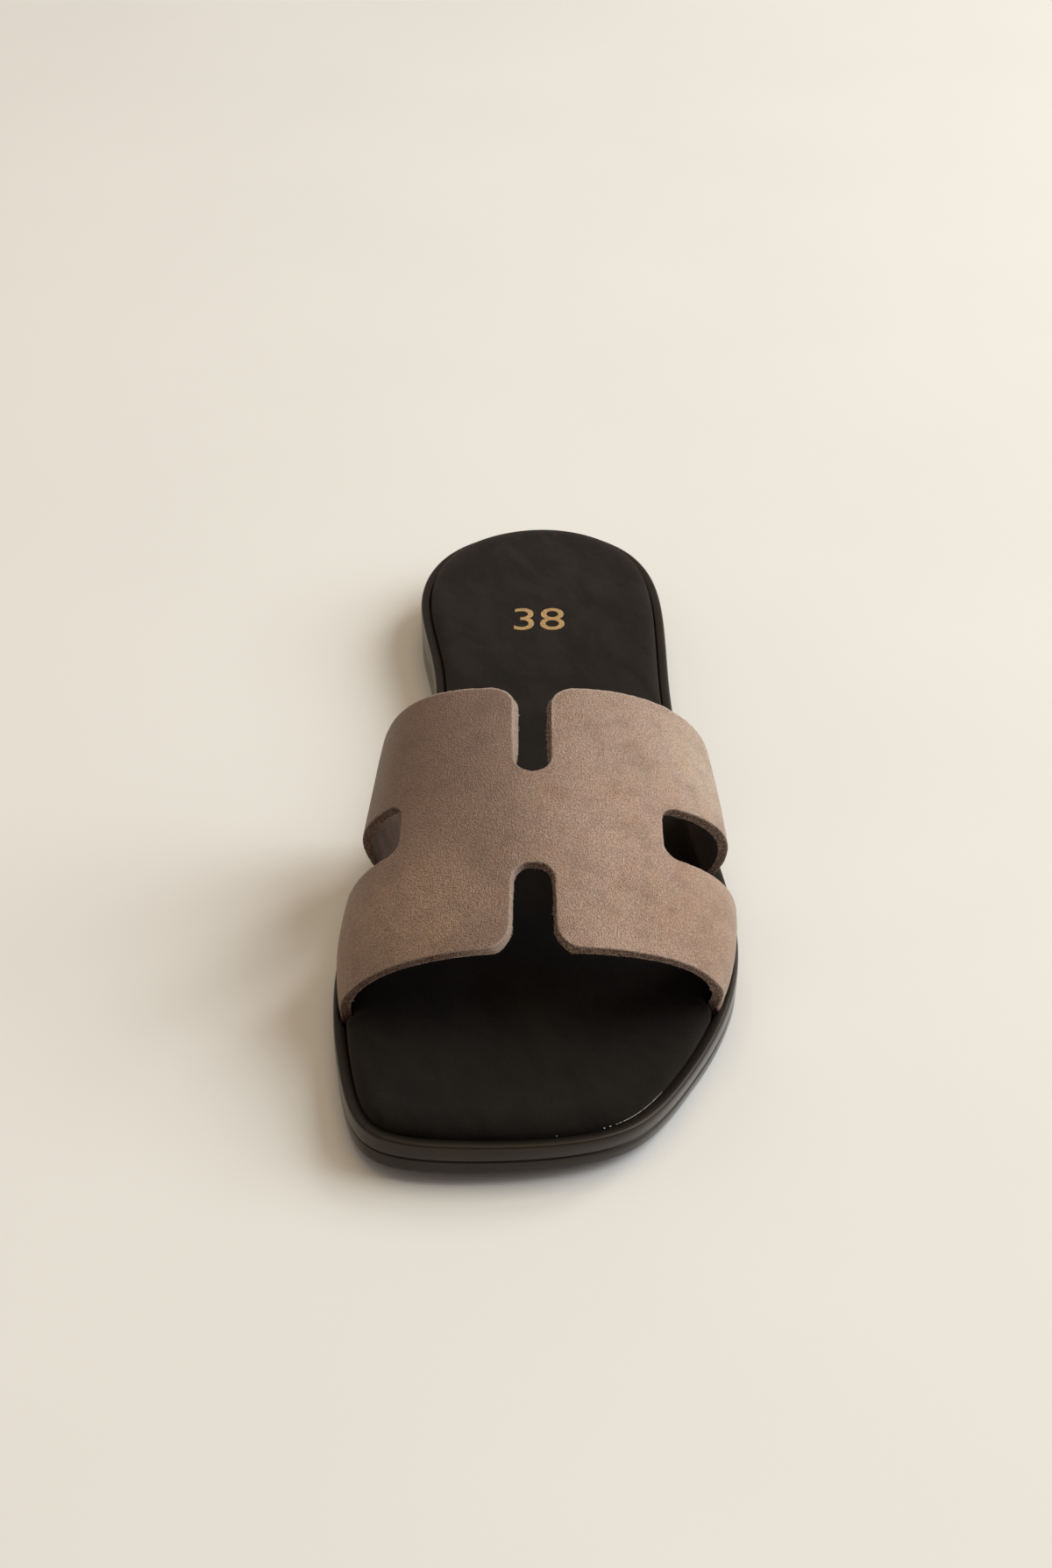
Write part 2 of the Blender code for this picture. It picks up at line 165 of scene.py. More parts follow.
# %% Outline of the sole
def closed_spline(points):
    """Sample a smooth closed curve through the points; every point keeps its place in the samples."""
    following = np.roll(points, -1, axis=0)
    span = np.linalg.norm(following - points, axis=1) ** 0.5
    chord = (following - points) / span[:, None]
    count = len(points)
    matrix = np.zeros((count, count))
    for row in range(count):
        matrix[row, row - 1] = span[row - 1]
        matrix[row, row] = 2 * (span[row - 1] + span[row])
        matrix[row, (row + 1) % count] = span[row]
    bend = np.linalg.solve(matrix, 6 * (chord - np.roll(chord, 1, axis=0)))
    share = np.linspace(0, 1, SAMPLES_PER_SPAN, endpoint=False)[:, None]
    spans = []
    for row in range(count):
        straight = points[row] * (1 - share) + following[row] * share
        sway = ((1 - share) ** 3 - (1 - share)) * bend[row]
        sway = sway + (share ** 3 - share) * bend[(row + 1) % count]
        spans.append(straight + sway * span[row] ** 2 / 6)
    return np.concatenate(spans)


def run_along(path):
    """Distance of every point of a path from its first point."""
    return np.concatenate([[0], np.cumsum(np.linalg.norm(np.diff(path, axis=0), axis=1))])


def at_distances(path, distances):
    """Points of a path at distances from its first point."""
    run = run_along(path)
    return np.stack([np.interp(distances, run, path[:, axis]) for axis in range(path.shape[1])], axis=1)


def sole_outline():
    """Outline of the sole as (offset, station), equal counts on both sides, centred across the foot."""
    samples = closed_spline(np.array([(row[2], row[1]) for row in SOLE_OUTLINE]))
    toe = TOE_TIP_ROW * SAMPLES_PER_SPAN
    sides = []
    for side in (samples[:toe + 1], np.concatenate([samples[toe:], samples[:1]])):
        length = run_along(side)[-1]
        sides.append(at_distances(side, np.linspace(0, length, POINTS_PER_SIDE, endpoint=False)))
    outline = np.concatenate(sides)
    low = outline.min(axis=0)
    high = outline.max(axis=0)
    outline[:, 0] -= (low[0] + high[0]) / 2
    outline[:, 1] = (outline[:, 1] - low[1]) * SOLE_LENGTH / (high[1] - low[1])
    return outline


OUTLINE = sole_outline()
RING_COUNT = len(OUTLINE)
print("sole outline:", RING_COUNT, "points, width", round(np.ptp(OUTLINE[:, 0]), 1), "mm")


# %% [markdown]
# Seen from above, every ring of the sole is its outline moved inwards. Two things are not the same all
# round: the rim is narrower beside the front legs, which need the room, and on the lateral side of the toe
# the wall slopes in towards the tread. Both are worked out once for every point of the outline.

# %% Rings round the sole
RIM_NARROW = 1.2
# Stations over which the rim gets narrow, and over which it widens again on each side
NARROW_FROM = (170.0, 182.0)
NARROW_TO = {MEDIAL: (207.0, 213.0), LATERAL: (203.5, 209.5)}
TOE_UNDERCUT = 1.1
# Stations and offsets over which the undercut grows
UNDERCUT_STATIONS = (196.0, 224.0)
UNDERCUT_OFFSETS = (-15.0, 10.0)


def rising(place, span):
    """Share that rises evenly from 0 to 1 over a span of places."""
    return np.interp(place, span, (0.0, 1.0))


outline_offset, outline_station = OUTLINE.T
on_lateral = np.arange(RING_COUNT) < POINTS_PER_SIDE
widened = {side: rising(outline_station, NARROW_TO[side]) for side in (MEDIAL, LATERAL)}
narrowed = rising(outline_station, NARROW_FROM) - np.where(on_lateral, widened[LATERAL], widened[MEDIAL])
rim_width = RIM_WIDTH - RIM_NARROW * ease(narrowed)
undercut_share = rising(outline_station, UNDERCUT_STATIONS) * rising(outline_offset, UNDERCUT_OFFSETS)
toe_undercut = TOE_UNDERCUT * undercut_share
print("rim width, mm:", rim_width.min().round(1), "to", rim_width.max().round(1))


def inset_outline(inset):
    """The sole's outline moved inwards by the inset, which may differ from point to point."""
    along = np.roll(OUTLINE, -1, axis=0) - np.roll(OUTLINE, 1, axis=0)
    along /= np.linalg.norm(along, axis=1)[:, None]
    inwards = np.stack([-along[:, 1], along[:, 0]], axis=1)
    return OUTLINE + np.broadcast_to(inset, RING_COUNT)[:, None] * inwards


def to_frame(offset, station, height):
    """Turn offsets, stations and heights into points of the shoe's frame, still in millimetres."""
    return np.stack([offset, SOLE_LENGTH / 2 - station, height], axis=-1)


def sole_ring(inset, share, lift):
    """Ring at an inset, at a share of the height between underside and rim, plus a lift."""
    offset, station = inset_outline(inset).T
    bottom = UNDERSIDE(station)
    return to_frame(offset, station, bottom + share * (RIM_TOP(station) - bottom) + lift)


# %% [markdown]
# ## How a ring is modelled
# The sole and the insole are both stacks of rings. By hand, one would add a circle, pull it to the outline,
# and then extrude it again and again, moving each new ring to its place on the side's profile.
# The helpers below do the same. Every vertex of the circle gets a number, and an extruded vertex keeps
# the number of the one it came from, so that each new ring can be placed exactly.

# %% Helpers for modelling rings
WELD = 0.001


def start_ring(name, points):
    """Add a circle, number its vertices and put them on the points; edit mode stays on."""
    bpy.ops.object.select_all(action="DESELECT")
    bpy.ops.mesh.primitive_circle_add(vertices=len(points), radius=SOLE_LENGTH / 2 * MM)
    piece = bpy.context.object
    piece.name = name
    piece.data.name = name
    bpy.ops.object.mode_set(mode="EDIT")
    bpy.ops.mesh.select_mode(type="VERT")
    bpy.ops.mesh.select_all(action="SELECT")
    mesh = bmesh.from_edit_mesh(piece.data)
    number = mesh.verts.layers.int.new("number")
    for index, vert in enumerate(mesh.verts):
        vert[number] = index
    place_ring(piece, points)
    return piece


def place_ring(piece, points):
    """Move the selected vertices to the points, each by its number round the ring."""
    mesh = bmesh.from_edit_mesh(piece.data)
    number = mesh.verts.layers.int["number"]
    for vert in mesh.verts:
        if vert.select:
            vert.co = points[vert[number]] * MM
    bmesh.update_edit_mesh(piece.data)


def grow_ring(piece, points):
    """Extrude the selected ring and place the new one."""
    bpy.ops.mesh.extrude_region_move()
    place_ring(piece, points)


def draw_in(piece, ring, steps, height):
    """Draw the selected ring in to the midline in steps and weld it; a function of the place and the
    distance from the ring gives the heights."""
    across = ring[-np.arange(len(ring)) % len(ring)]
    middle = (ring + across) / 2
    for step in range(1, steps + 1):
        inner = ring + (middle - ring) * step / steps
        from_ring = np.linalg.norm(inner[:, None, :2] - ring[None, :, :2], axis=2).min(axis=1)
        inner[:, 2] = height(inner, from_ring)
        grow_ring(piece, inner)
    bpy.ops.mesh.select_all(action="SELECT")
    bpy.ops.mesh.remove_doubles(threshold=WELD * MM)


def close_piece(piece, smooth_angle):
    """Turn the faces outwards, leave edit mode and shade the piece smooth up to an angle."""
    bpy.ops.mesh.select_all(action="SELECT")
    bpy.ops.mesh.normals_make_consistent(inside=False)
    bpy.ops.object.mode_set(mode="OBJECT")
    bpy.ops.object.shade_smooth_by_angle(angle=math.radians(smooth_angle))
    faces = len(piece.data.polygons)
    print(piece.name, "has", faces, "faces, mm:", [round(size / MM, 1) for size in piece.dimensions])


# %% [markdown]
# ## The rubber sole
# The real sole is moulded in one piece. Its wall has a fine groove a little below the middle, which parts
# it into two bands, and a flat rim runs round the insole. A sharp edge never catches light as rubber does,
# so every corner is rolled over with two or three close rings. Underneath, where the photo shows nothing,
# the tread gets plain shallow waves, as such soles have.

# %% Side of the sole
# From the tread round to the tray: place, inset, share of the height, lift
SOLE_SIDE = (
    ("tread edge", 1.20, 0.0, 0.0),
    ("tread roll low", 0.70, 0.0, 0.10),
    ("tread roll", 0.38, 0.0, 0.36),
    ("lower band foot", 0.22, 0.0, 0.90),
    ("lower band", 0.15, 0.25, 0.0),
    ("lower band head", 0.14, 0.47, -0.46),
    ("lower lip", 0.20, 0.47, -0.27),
    ("groove foot", 0.42, 0.47, -0.13),
    ("groove", 0.55, 0.47, 0.0),
    ("groove head", 0.42, 0.47, 0.13),
    ("upper lip", 0.14, 0.47, 0.27),
    ("upper band foot", 0.06, 0.47, 0.46),
    ("upper band", 0.0, 0.73, 0.0),
    ("upper band head", 0.05, 1.0, -0.80),
    ("rim roll low", 0.15, 1.0, -0.42),
    ("rim roll", 0.36, 1.0, -0.14),
    ("rim edge", 0.72, 1.0, -0.02),
    ("rim top", 0.36 + 0.36 * rim_width, 1.0, 0.0),
    ("rim inner edge", rim_width - 0.30, 1.0, -0.02),
    ("rim inner roll", rim_width - 0.06, 1.0, -0.18),
    ("tray wall head", rim_width, 1.0, -0.50),
    ("tray wall", rim_width, 1.0, -TRAY_DEPTH),
)
TREAD_PITCH = 8.0
TREAD_DEPTH = 0.7
TREAD_SWAY = 1.8
TREAD_SWAY_WIDTH = 4.5
TREAD_MARGIN = 7.0
SOLE_STEPS = 16


def tread_height(points, from_edge):
    """Height of the underside: shallow waves across the sole that fade out towards its edge."""
    station = SOLE_LENGTH / 2 - points[:, 1]
    phase = (station + TREAD_SWAY * np.sin(points[:, 0] / TREAD_SWAY_WIDTH)) * 2 * math.pi / TREAD_PITCH
    fade = ease(from_edge / TREAD_MARGIN)
    return UNDERSIDE(station) + TREAD_DEPTH * fade * (1 - np.cos(phase)) / 2


def tray_height(points, from_edge):
    """Height of the tray's floor under the insole."""
    return RIM_TOP(SOLE_LENGTH / 2 - points[:, 1]) - TRAY_DEPTH


# %% Model the sole
side_rings = []
for place, inset, share, lift in SOLE_SIDE:
    side_rings.append(sole_ring(inset + (1 - share) * toe_undercut, share, lift))
sole = start_ring("outsole_moulded", side_rings[0])
for ring in side_rings[1:]:
    grow_ring(sole, ring)
draw_in(sole, side_rings[-1], SOLE_STEPS, tray_height)
bpy.ops.mesh.select_all(action="DESELECT")
bpy.ops.mesh.select_non_manifold()
draw_in(sole, side_rings[0], SOLE_STEPS, tread_height)
close_piece(sole, smooth_angle=50)

# %% [markdown]
# ## The padded insole
# Foam under tight suede makes a footbed with a soft, rounded edge. The strap's four legs go down between
# it and the rim, and there the padding gives way. A cloth simulation would puff it up like a cushion, and
# the real one is firm and nearly flat, so its edge is modelled ring by ring and its top gets a faint crown
# and slow, shallow unevenness.

# %% Legs of the strap, where the padding gives way
# Sections of the strap's outer face from front to rear: place, share of the pattern's depth, station at
# the rim, crown height over the rim, then for each side the half width, the squareness of its shoulder
# and the height over which its leg turns in to its seat, medial side first
UPPER_SECTIONS = (
    ("front edge", 0.0, 208.8, 29.2, 42.7, 2.1, 5.0, 42.3, 2.6, 6.5),
    ("front band", 0.18, 194.4, 33.0, 45.2, 2.4, 16.0, 46.4, 2.95, 14.0),
    ("bridge", 0.5, 169.4, 40.9, 41.8, 2.7, 16.0, 47.6, 2.5, 13.0),
    ("rear edge", 1.0, 133.5, 49.7, 36.4, 3.6, 16.6, 44.2, 2.8, 15.0),
)
SHARE_COLUMN = 1
STATION_COLUMN = 2
CROWN_COLUMN = 3
SIDE_COLUMNS = {MEDIAL: (4, 5, 6), LATERAL: (7, 8, 9)}
PATTERN_DEPTH = 74.0
# Depths on the pattern of the legs' corners: the front leg's front, then the notch's front and rear
FRONT_FOOT_BACK = {MEDIAL: 0.6, LATERAL: 3.5}
NOTCH_FRONT_FOOT = {MEDIAL: 25.5, LATERAL: 26.0}
NOTCH_REAR_FOOT = {MEDIAL: 49.8, LATERAL: 48.8}


def upper_size(column, share):
    """Size from a column of the strap's table at a share of the pattern's depth."""
    shares = [row[SHARE_COLUMN] for row in UPPER_SECTIONS]
    return table_curve(shares, [row[column] for row in UPPER_SECTIONS])(share)


def leg_stations(side):
    """Stations from back to front that the two legs of a side take up at the rim."""
    depths = ((NOTCH_FRONT_FOOT[side], FRONT_FOOT_BACK[side]), (PATTERN_DEPTH, NOTCH_REAR_FOOT[side]))
    return [[upper_size(STATION_COLUMN, depth / PATTERN_DEPTH) for depth in pair] for pair in depths]


for side_name, side in (("medial", MEDIAL), ("lateral", LATERAL)):
    print(side_name, "legs stand at stations", np.round(leg_stations(side), 1).tolist())

# %% [markdown]
# The insole's side goes up out of the tray, bulges a little over the rim and then rounds over to the top in
# ever flatter steps. Along each leg the profile moves inwards, to make room for the leather.

# %% Profile of the insole
# From its underside to its top: place, inset past the tray gap, lift over the rim
INSOLE_SIDE = (
    ("underside", 0.0, GAP - TRAY_DEPTH),
    ("side foot", 0.0, -0.6),
    ("side", 0.0, 0.2),
    ("side head", 0.02, 0.8),
    ("bulge low", 0.12, 1.25),
    ("bulge", 0.34, 1.68),
    ("shoulder low", 0.68, 2.08),
    ("shoulder", 1.15, 2.43),
    ("shoulder high", 1.75, 2.72),
    ("top edge low", 2.50, 2.95),
    ("top edge", 3.40, 3.12),
    ("top edge high", 4.40, 3.23),
    ("top", 5.50, INSOLE_RISE),
)
# The padding gives way a little past each leg, behind it and ahead of it, and returns over a ramp
LEG_CLEAR = 0.5
LEG_CLEAR_AHEAD = 1.4
LEG_RAMP = 2.4
INSOLE_CROWN = 0.30
CROWN_WIDTH = 20.0
INSOLE_STEPS = 16
UNEVEN_SIZE = 26.0
UNEVEN_HEIGHT = 0.22


def leg_give():
    """How far the insole's edge gives way at every point of the ring: fully along each leg."""
    side_of_point = np.where(on_lateral, LATERAL, MEDIAL)
    give = np.zeros(RING_COUNT)
    for side in (MEDIAL, LATERAL):
        for back, front in leg_stations(side):
            behind = back - LEG_CLEAR - outline_station
            ahead = outline_station - front - LEG_CLEAR_AHEAD
            outside = np.maximum(behind, ahead)
            ramp = ease(1 - outside / LEG_RAMP) * (side_of_point == side)
            give = np.maximum(give, ramp * (LEATHER + GAP))
    return give


def insole_top(points, from_edge):
    """Height of the insole's top: a faint crown and slow unevenness that grow from its edge."""
    grown = ease(from_edge / CROWN_WIDTH)
    level = RIM_TOP(SOLE_LENGTH / 2 - points[:, 1]) + INSOLE_RISE + INSOLE_CROWN * grown
    waves = [noise.noise((x / UNEVEN_SIZE, y / UNEVEN_SIZE, 0.0)) for x, y in points[:, :2]]
    return level + UNEVEN_HEIGHT * grown * np.array(waves)


def insole_floor(points, from_edge):
    """Height of the insole's underside, just over the tray's floor."""
    return tray_height(points, from_edge) + GAP


# %% Model the insole
tray_edge = rim_width + GAP + leg_give()
insole_rings = [sole_ring(tray_edge + inset, 1.0, lift) for place, inset, lift in INSOLE_SIDE]
insole = start_ring("insole_padded", insole_rings[0])
for ring in insole_rings[1:]:
    grow_ring(insole, ring)
draw_in(insole, insole_rings[-1], INSOLE_STEPS, insole_top)
bpy.ops.mesh.select_all(action="DESELECT")
bpy.ops.mesh.select_non_manifold()
draw_in(insole, insole_rings[0], INSOLE_STEPS, insole_floor)
close_piece(insole, smooth_angle=60)

# %% [markdown]
# ## The form that the leather bends over
# The strap is cut flat and bent over a last. Here the last is a table of sections, each a rounded arch
# that leans towards the toe and whose sides turn in at the bottom to reach their seat beside the insole.
# Worked out once on a fine grid, it answers two questions for any place on the flat pattern: where does
# this bit of leather lie on the shoe, and which way does its outer face look?

# %% Grid of the last
CROWN_OFFSET = -1.3
SECTION_LEAN = math.radians(18.3)
SECTION_STEPS = 240
LEG_FOOT = TRAY_DEPTH - GAP
LEG_UPRIGHT = 0.9
# How a leg turns in at its foot: the power of the turn, and its reach as times the table's height
LEG_TURN = 2.2
LEG_TURN_REACH = {MEDIAL: 1.6, LATERAL: 2.2}
LAST_ROW_STEP = 0.5
LAST_HALF_COLUMNS = 300


def edge_offset(inset, station, side):
    """Offset of the inset outline at a station, on the medial or the lateral side."""
    ring = inset_outline(inset)
    lateral_run = ring[:POINTS_PER_SIDE + 1]
    medial_run = np.concatenate([ring[POINTS_PER_SIDE:], ring[:1]])[::-1]
    run = lateral_run if side == LATERAL else medial_run
    return np.interp(station, run[:, 1], run[:, 0])


def half_section(share, side):
    """One half of a section of the strap's outer face, from the crown down to the end of the leg."""
    base = upper_size(STATION_COLUMN, share)
    crown = upper_size(CROWN_COLUMN, share)
    half_width, squareness, tuck_height = (upper_size(column, share) for column in SIDE_COLUMNS[side])
    seat = side * (edge_offset(rim_width + GAP, base, side) - CROWN_OFFSET)
    rise = crown * np.sin(np.linspace(math.pi / 2, 0, SECTION_STEPS))
    reach = half_width * np.clip(1 - (rise / crown) ** squareness, 0, 1) ** (1 / squareness)
    turned = np.clip((rise - LEG_UPRIGHT) / (tuck_height * LEG_TURN_REACH[side]), 0, 1)
    reach -= (half_width - seat) * (1 - turned) ** LEG_TURN
    station = base + rise * math.sin(SECTION_LEAN)
    height = RIM_TOP(base) + rise * math.cos(SECTION_LEAN)
    leg = to_frame(CROWN_OFFSET + side * reach, station, height)
    return np.concatenate([leg, [leg[-1] - (0, 0, LEG_FOOT)]])


def last_row(depth):
    """Points of the outer face at one depth of the pattern, from the medial leg's end to the lateral's."""
    halves = {}
    for side in (MEDIAL, LATERAL):
        path = half_section(depth / PATTERN_DEPTH, side)
        length = run_along(path)[-1]
        halves[side] = (at_distances(path, np.linspace(0, length, LAST_HALF_COLUMNS + 1)), length)
    points = np.concatenate([halves[MEDIAL][0][:0:-1], halves[LATERAL][0]])
    return points, halves[MEDIAL][1], halves[LATERAL][1]


LAST_DEPTHS = np.arange(0, PATTERN_DEPTH + LAST_ROW_STEP / 2, LAST_ROW_STEP)
last_rows = [last_row(depth) for depth in LAST_DEPTHS]
LAST = np.stack([row[0] for row in last_rows])
LEG_LENGTHS = {
    MEDIAL: np.array([row[1] for row in last_rows]),
    LATERAL: np.array([row[2] for row in last_rows]),
}
LAST_OUTWARD = np.cross(np.gradient(LAST, axis=1), np.gradient(LAST, axis=0))
LAST_OUTWARD /= np.linalg.norm(LAST_OUTWARD, axis=2)[:, :, None]
print("girth of the leather, front and rear, mm:",
      [round(LEG_LENGTHS[MEDIAL][row] + LEG_LENGTHS[LATERAL][row], 1) for row in (0, -1)])


# %% Look up the last
# A look-up stops just short of the grid's last row and column
STOP_SHORT = 1.001


def look_up(grid, across, depth):
    """Value of a grid over the last; across is a share of the leg, negative on the medial side."""
    column = np.clip((np.asarray(across) + 1) * LAST_HALF_COLUMNS, 0, grid.shape[1] - STOP_SHORT)
    row = np.clip(np.asarray(depth) / LAST_ROW_STEP, 0, grid.shape[0] - STOP_SHORT)
    column_low = column.astype(int)
    row_low = row.astype(int)
    u = (column - column_low)[:, None]
    v = (row - row_low)[:, None]
    front = grid[row_low, column_low] * (1 - u) + grid[row_low, column_low + 1] * u
    rear = grid[row_low + 1, column_low] * (1 - u) + grid[row_low + 1, column_low + 1] * u
    return front * (1 - v) + rear * v


def outward(across, depth):
    """Unit direction in which the outer face looks."""
    direction = look_up(LAST_OUTWARD, across, depth)
    return direction / np.linalg.norm(direction, axis=1)[:, None]


def wear(across, depth, below):
    """Place on the shoe of points of the flat leather, below the outer face by a distance."""
    return look_up(LAST, across, depth) - np.asarray(below)[:, None] * outward(across, depth)


def leg_length(depth, side):
    """Length of the leather from the crown to the end of the leg."""
    return np.interp(depth, LAST_DEPTHS, LEG_LENGTHS[side])


# %% [markdown]
# ## The cutting line
# The flat pattern is an H: a slot runs in from the front edge and another from the rear edge, and a notch
# on each side leaves four legs. The front edge swings back at the shins, most of all on the lateral side.
# Every corner of the cut is round, because a knife follows a curve. Only the corners and their radii are
# listed, and the arcs are worked out from them.

# %% Corners of the cut
FRONT_SLOT_END = 9.2
FRONT_SLOT_MOUTH = 10.0
FRONT_SLOT_REACH = 21.8
REAR_SLOT_WIDTH = 8.4
REAR_SLOT_REACH = 27.0
NOTCH_FRONT = {MEDIAL: 28.8, LATERAL: 26.0}
NOTCH_REAR = {MEDIAL: 42.7, LATERAL: 40.4}
NOTCH_END = {MEDIAL: 30.6, LATERAL: 29.4}
FRONT_MOUTH_RADIUS = 7.0
REAR_MOUTH_RADIUS = 5.5
FRONT_SLOT_RADIUS = 4.55
REAR_SLOT_RADIUS = 4.15
NOTCH_END_RADIUS = 4.2
FOOT_RADIUS = 1.2
SHIN_SHARE = 0.72
SHIN_RADIUS = 42.0
ARC_STEPS = 16
PATTERN_HALF = 76.0


def half_pattern(side):
    """Corners of one half of the H, from front slot to rear slot: share of the leg, depth, radius."""
    rear_slot = REAR_SLOT_WIDTH / 2
    foot_back = FRONT_FOOT_BACK[side]
    front_foot = NOTCH_FRONT_FOOT[side]
    rear_foot = NOTCH_REAR_FOOT[side]
    corners = (
        (FRONT_SLOT_END / 2, FRONT_SLOT_REACH, FRONT_SLOT_RADIUS),
        (FRONT_SLOT_MOUTH / 2, 0.0, FRONT_MOUTH_RADIUS),
        (SHIN_SHARE * leg_length(0.0, side), 0.0, SHIN_RADIUS),
        (leg_length(foot_back, side), foot_back, FOOT_RADIUS),
        (leg_length(front_foot, side), front_foot, FOOT_RADIUS),
        (NOTCH_END[side], NOTCH_FRONT[side], NOTCH_END_RADIUS),
        (NOTCH_END[side], NOTCH_REAR[side], NOTCH_END_RADIUS),
        (leg_length(rear_foot, side), rear_foot, FOOT_RADIUS),
        (leg_length(PATTERN_DEPTH, side), PATTERN_DEPTH, FOOT_RADIUS),
        (rear_slot, PATTERN_DEPTH, REAR_MOUTH_RADIUS),
        (rear_slot, PATTERN_DEPTH - REAR_SLOT_REACH, REAR_SLOT_RADIUS),
    )
    return [(side * reach / leg_length(depth, side), depth, radius) for reach, depth, radius in corners]


def rounded(corners):
    """Closed outline through the corners, each turned by an arc of its radius."""
    points = []
    for index, (x, y, radius) in enumerate(corners):
        here = np.array((x, y))
        before = np.array(corners[index - 1][:2]) - here
        after = np.array(corners[(index + 1) % len(corners)][:2]) - here
        before /= np.linalg.norm(before)
        after /= np.linalg.norm(after)
        opening = math.acos(np.clip(before @ after, -1, 1))
        middle = (before + after) / np.linalg.norm(before + after)
        centre = here + middle * radius / math.sin(opening / 2)
        start = here + before * radius / math.tan(opening / 2) - centre
        finish = here + after * radius / math.tan(opening / 2) - centre
        turn = math.pi - opening
        for step in range(ARC_STEPS + 1):
            angle = turn * step / ARC_STEPS
            mixed = start * math.sin(turn - angle) + finish * math.sin(angle)
            points.append(centre + mixed / math.sin(turn))
    return np.array(points)


# %% Draw the cutting line
LINE_STEP = 0.1
around = half_pattern(LATERAL) + half_pattern(MEDIAL)[::-1]
corner_line = rounded([(share * PATTERN_HALF, depth, radius) for share, depth, radius in around])
closed_line = np.concatenate([corner_line, corner_line[:1]])
LINE_LENGTH = run_along(closed_line)[-1]
CUT_LINE = at_distances(closed_line, np.arange(0, LINE_LENGTH, LINE_STEP))
print("cutting line:", round(LINE_LENGTH, 1), "mm long on the flat pattern")


def inside_line(points):
    """Which points lie inside the cutting line, by counting the crossings of a ray."""
    inside = np.zeros(len(points), bool)
    for start, finish in zip(corner_line, np.roll(corner_line, -1, axis=0)):
        spans = (start[1] > points[:, 1]) != (finish[1] > points[:, 1])
        if start[1] != finish[1]:
            run = (points[:, 1] - start[1]) * (finish[0] - start[0])
            crossing = start[0] + run / (finish[1] - start[1])
            inside ^= spans & (points[:, 0] < crossing)
    return inside


# %% [markdown]
# ## The leather strap
# Leather is flat before it is a shoe, so it is modelled flat: a fine grid, trimmed to the H, its border
# pulled onto the cutting line, given its thickness by an extrusion, and its edges rounded. The outer edge
# is pressed round by the knife, and the inner one stays sharper. Bending comes last, when every vertex goes
# to its place on the last. A subdivided solid would round the slots away, and a Boolean would leave slivers
# along the cut, which show as soon as light grazes the leather.

# %% Trim a grid to the H
CELL = 0.9
SHEET_MARGIN = 2.0
sheet_width = 2 * (PATTERN_HALF + SHEET_MARGIN)
sheet_depth = PATTERN_DEPTH + 2 * SHEET_MARGIN

bpy.ops.object.select_all(action="DESELECT")
bpy.ops.mesh.primitive_grid_add(x_subdivisions=round(sheet_width / CELL),
                                y_subdivisions=round(sheet_depth / CELL), size=1.0)
strap = bpy.context.object
strap.name = "upper_leather"
strap.data.name = "upper_leather"
bpy.ops.object.mode_set(mode="EDIT")
bpy.ops.mesh.select_all(action="SELECT")
bpy.ops.transform.resize(value=(sheet_width * MM, sheet_depth * MM, 1.0))
bpy.ops.transform.translate(value=(0, PATTERN_DEPTH / 2 * MM, 0))

bpy.ops.mesh.select_all(action="DESELECT")
bpy.ops.mesh.select_mode(type="FACE")
sheet = bmesh.from_edit_mesh(strap.data)
centres = np.array([face.calc_center_median()[:2] for face in sheet.faces]) / MM
for face, kept in zip(sheet.faces, inside_line(centres)):
    face.select_set(not kept)
bmesh.update_edit_mesh(strap.data)
bpy.ops.mesh.delete(type="FACE")
print("flat H:", len(bmesh.from_edit_mesh(strap.data).faces), "cells of about", CELL, "mm")


# %% Pull the border onto the cutting line
def border_loop(mesh):
    """Vertices of the sheet's border, in order."""
    edge = next(edge for edge in mesh.edges if edge.is_boundary)
    first = edge.verts[0]
    loop = [first]
    vert = edge.other_vert(first)
    while vert is not first:
        loop.append(vert)
        edge = next(other for other in vert.link_edges if other.is_boundary and other is not edge)
        vert = edge.other_vert(vert)
    return loop


EVENING_ROUNDS = 40
sheet = bmesh.from_edit_mesh(strap.data)
border = border_loop(sheet)
border_places = np.array([vert.co[:2] for vert in border]) / MM
gaps = np.linalg.norm(border_places[:, None] - CUT_LINE[None], axis=2)
along = gaps.argmin(axis=1) * LINE_STEP
turns = (np.roll(along, -1) - along + LINE_LENGTH / 2) % LINE_LENGTH - LINE_LENGTH / 2
if turns.sum() < 0:
    border.reverse()
    turns = -np.roll(turns[::-1], -1)
    along = along[::-1]
along = along[0] + np.concatenate([[0], np.cumsum(turns[:-1])])
for evening_round in range(EVENING_ROUNDS):
    before = np.concatenate([[along[-1] - LINE_LENGTH], along[:-1]])
    after = np.concatenate([along[1:], [along[0] + LINE_LENGTH]])
    along = along / 2 + (before + after) / 4
for vert, place in zip(border, at_distances(closed_line, along % LINE_LENGTH)):
    vert.co.x, vert.co.y = place * MM
for vert in sheet.verts:
    vert.select_set(not vert.is_boundary)
sheet.select_flush_mode()
bmesh.update_edit_mesh(strap.data)
bpy.ops.mesh.select_mode(type="VERT")
bpy.ops.mesh.vertices_smooth(factor=0.5, repeat=12)
print("border:", len(border), "vertices on the line, spacing", np.diff(along).min().round(2), "to",
      np.diff(along).max().round(2), "mm")

# %% Give the leather its thickness and round its edges
# Edges of the leather that are rounded: edge, height, radius, segments
ROUNDED_EDGES = (
    ("outer", 0.0, 0.34, 3),
    ("inner", -LEATHER, 0.20, 2),
)
WALL_CUTS = 3
FLAT = 0.5
LEVEL_WITHIN = 0.01


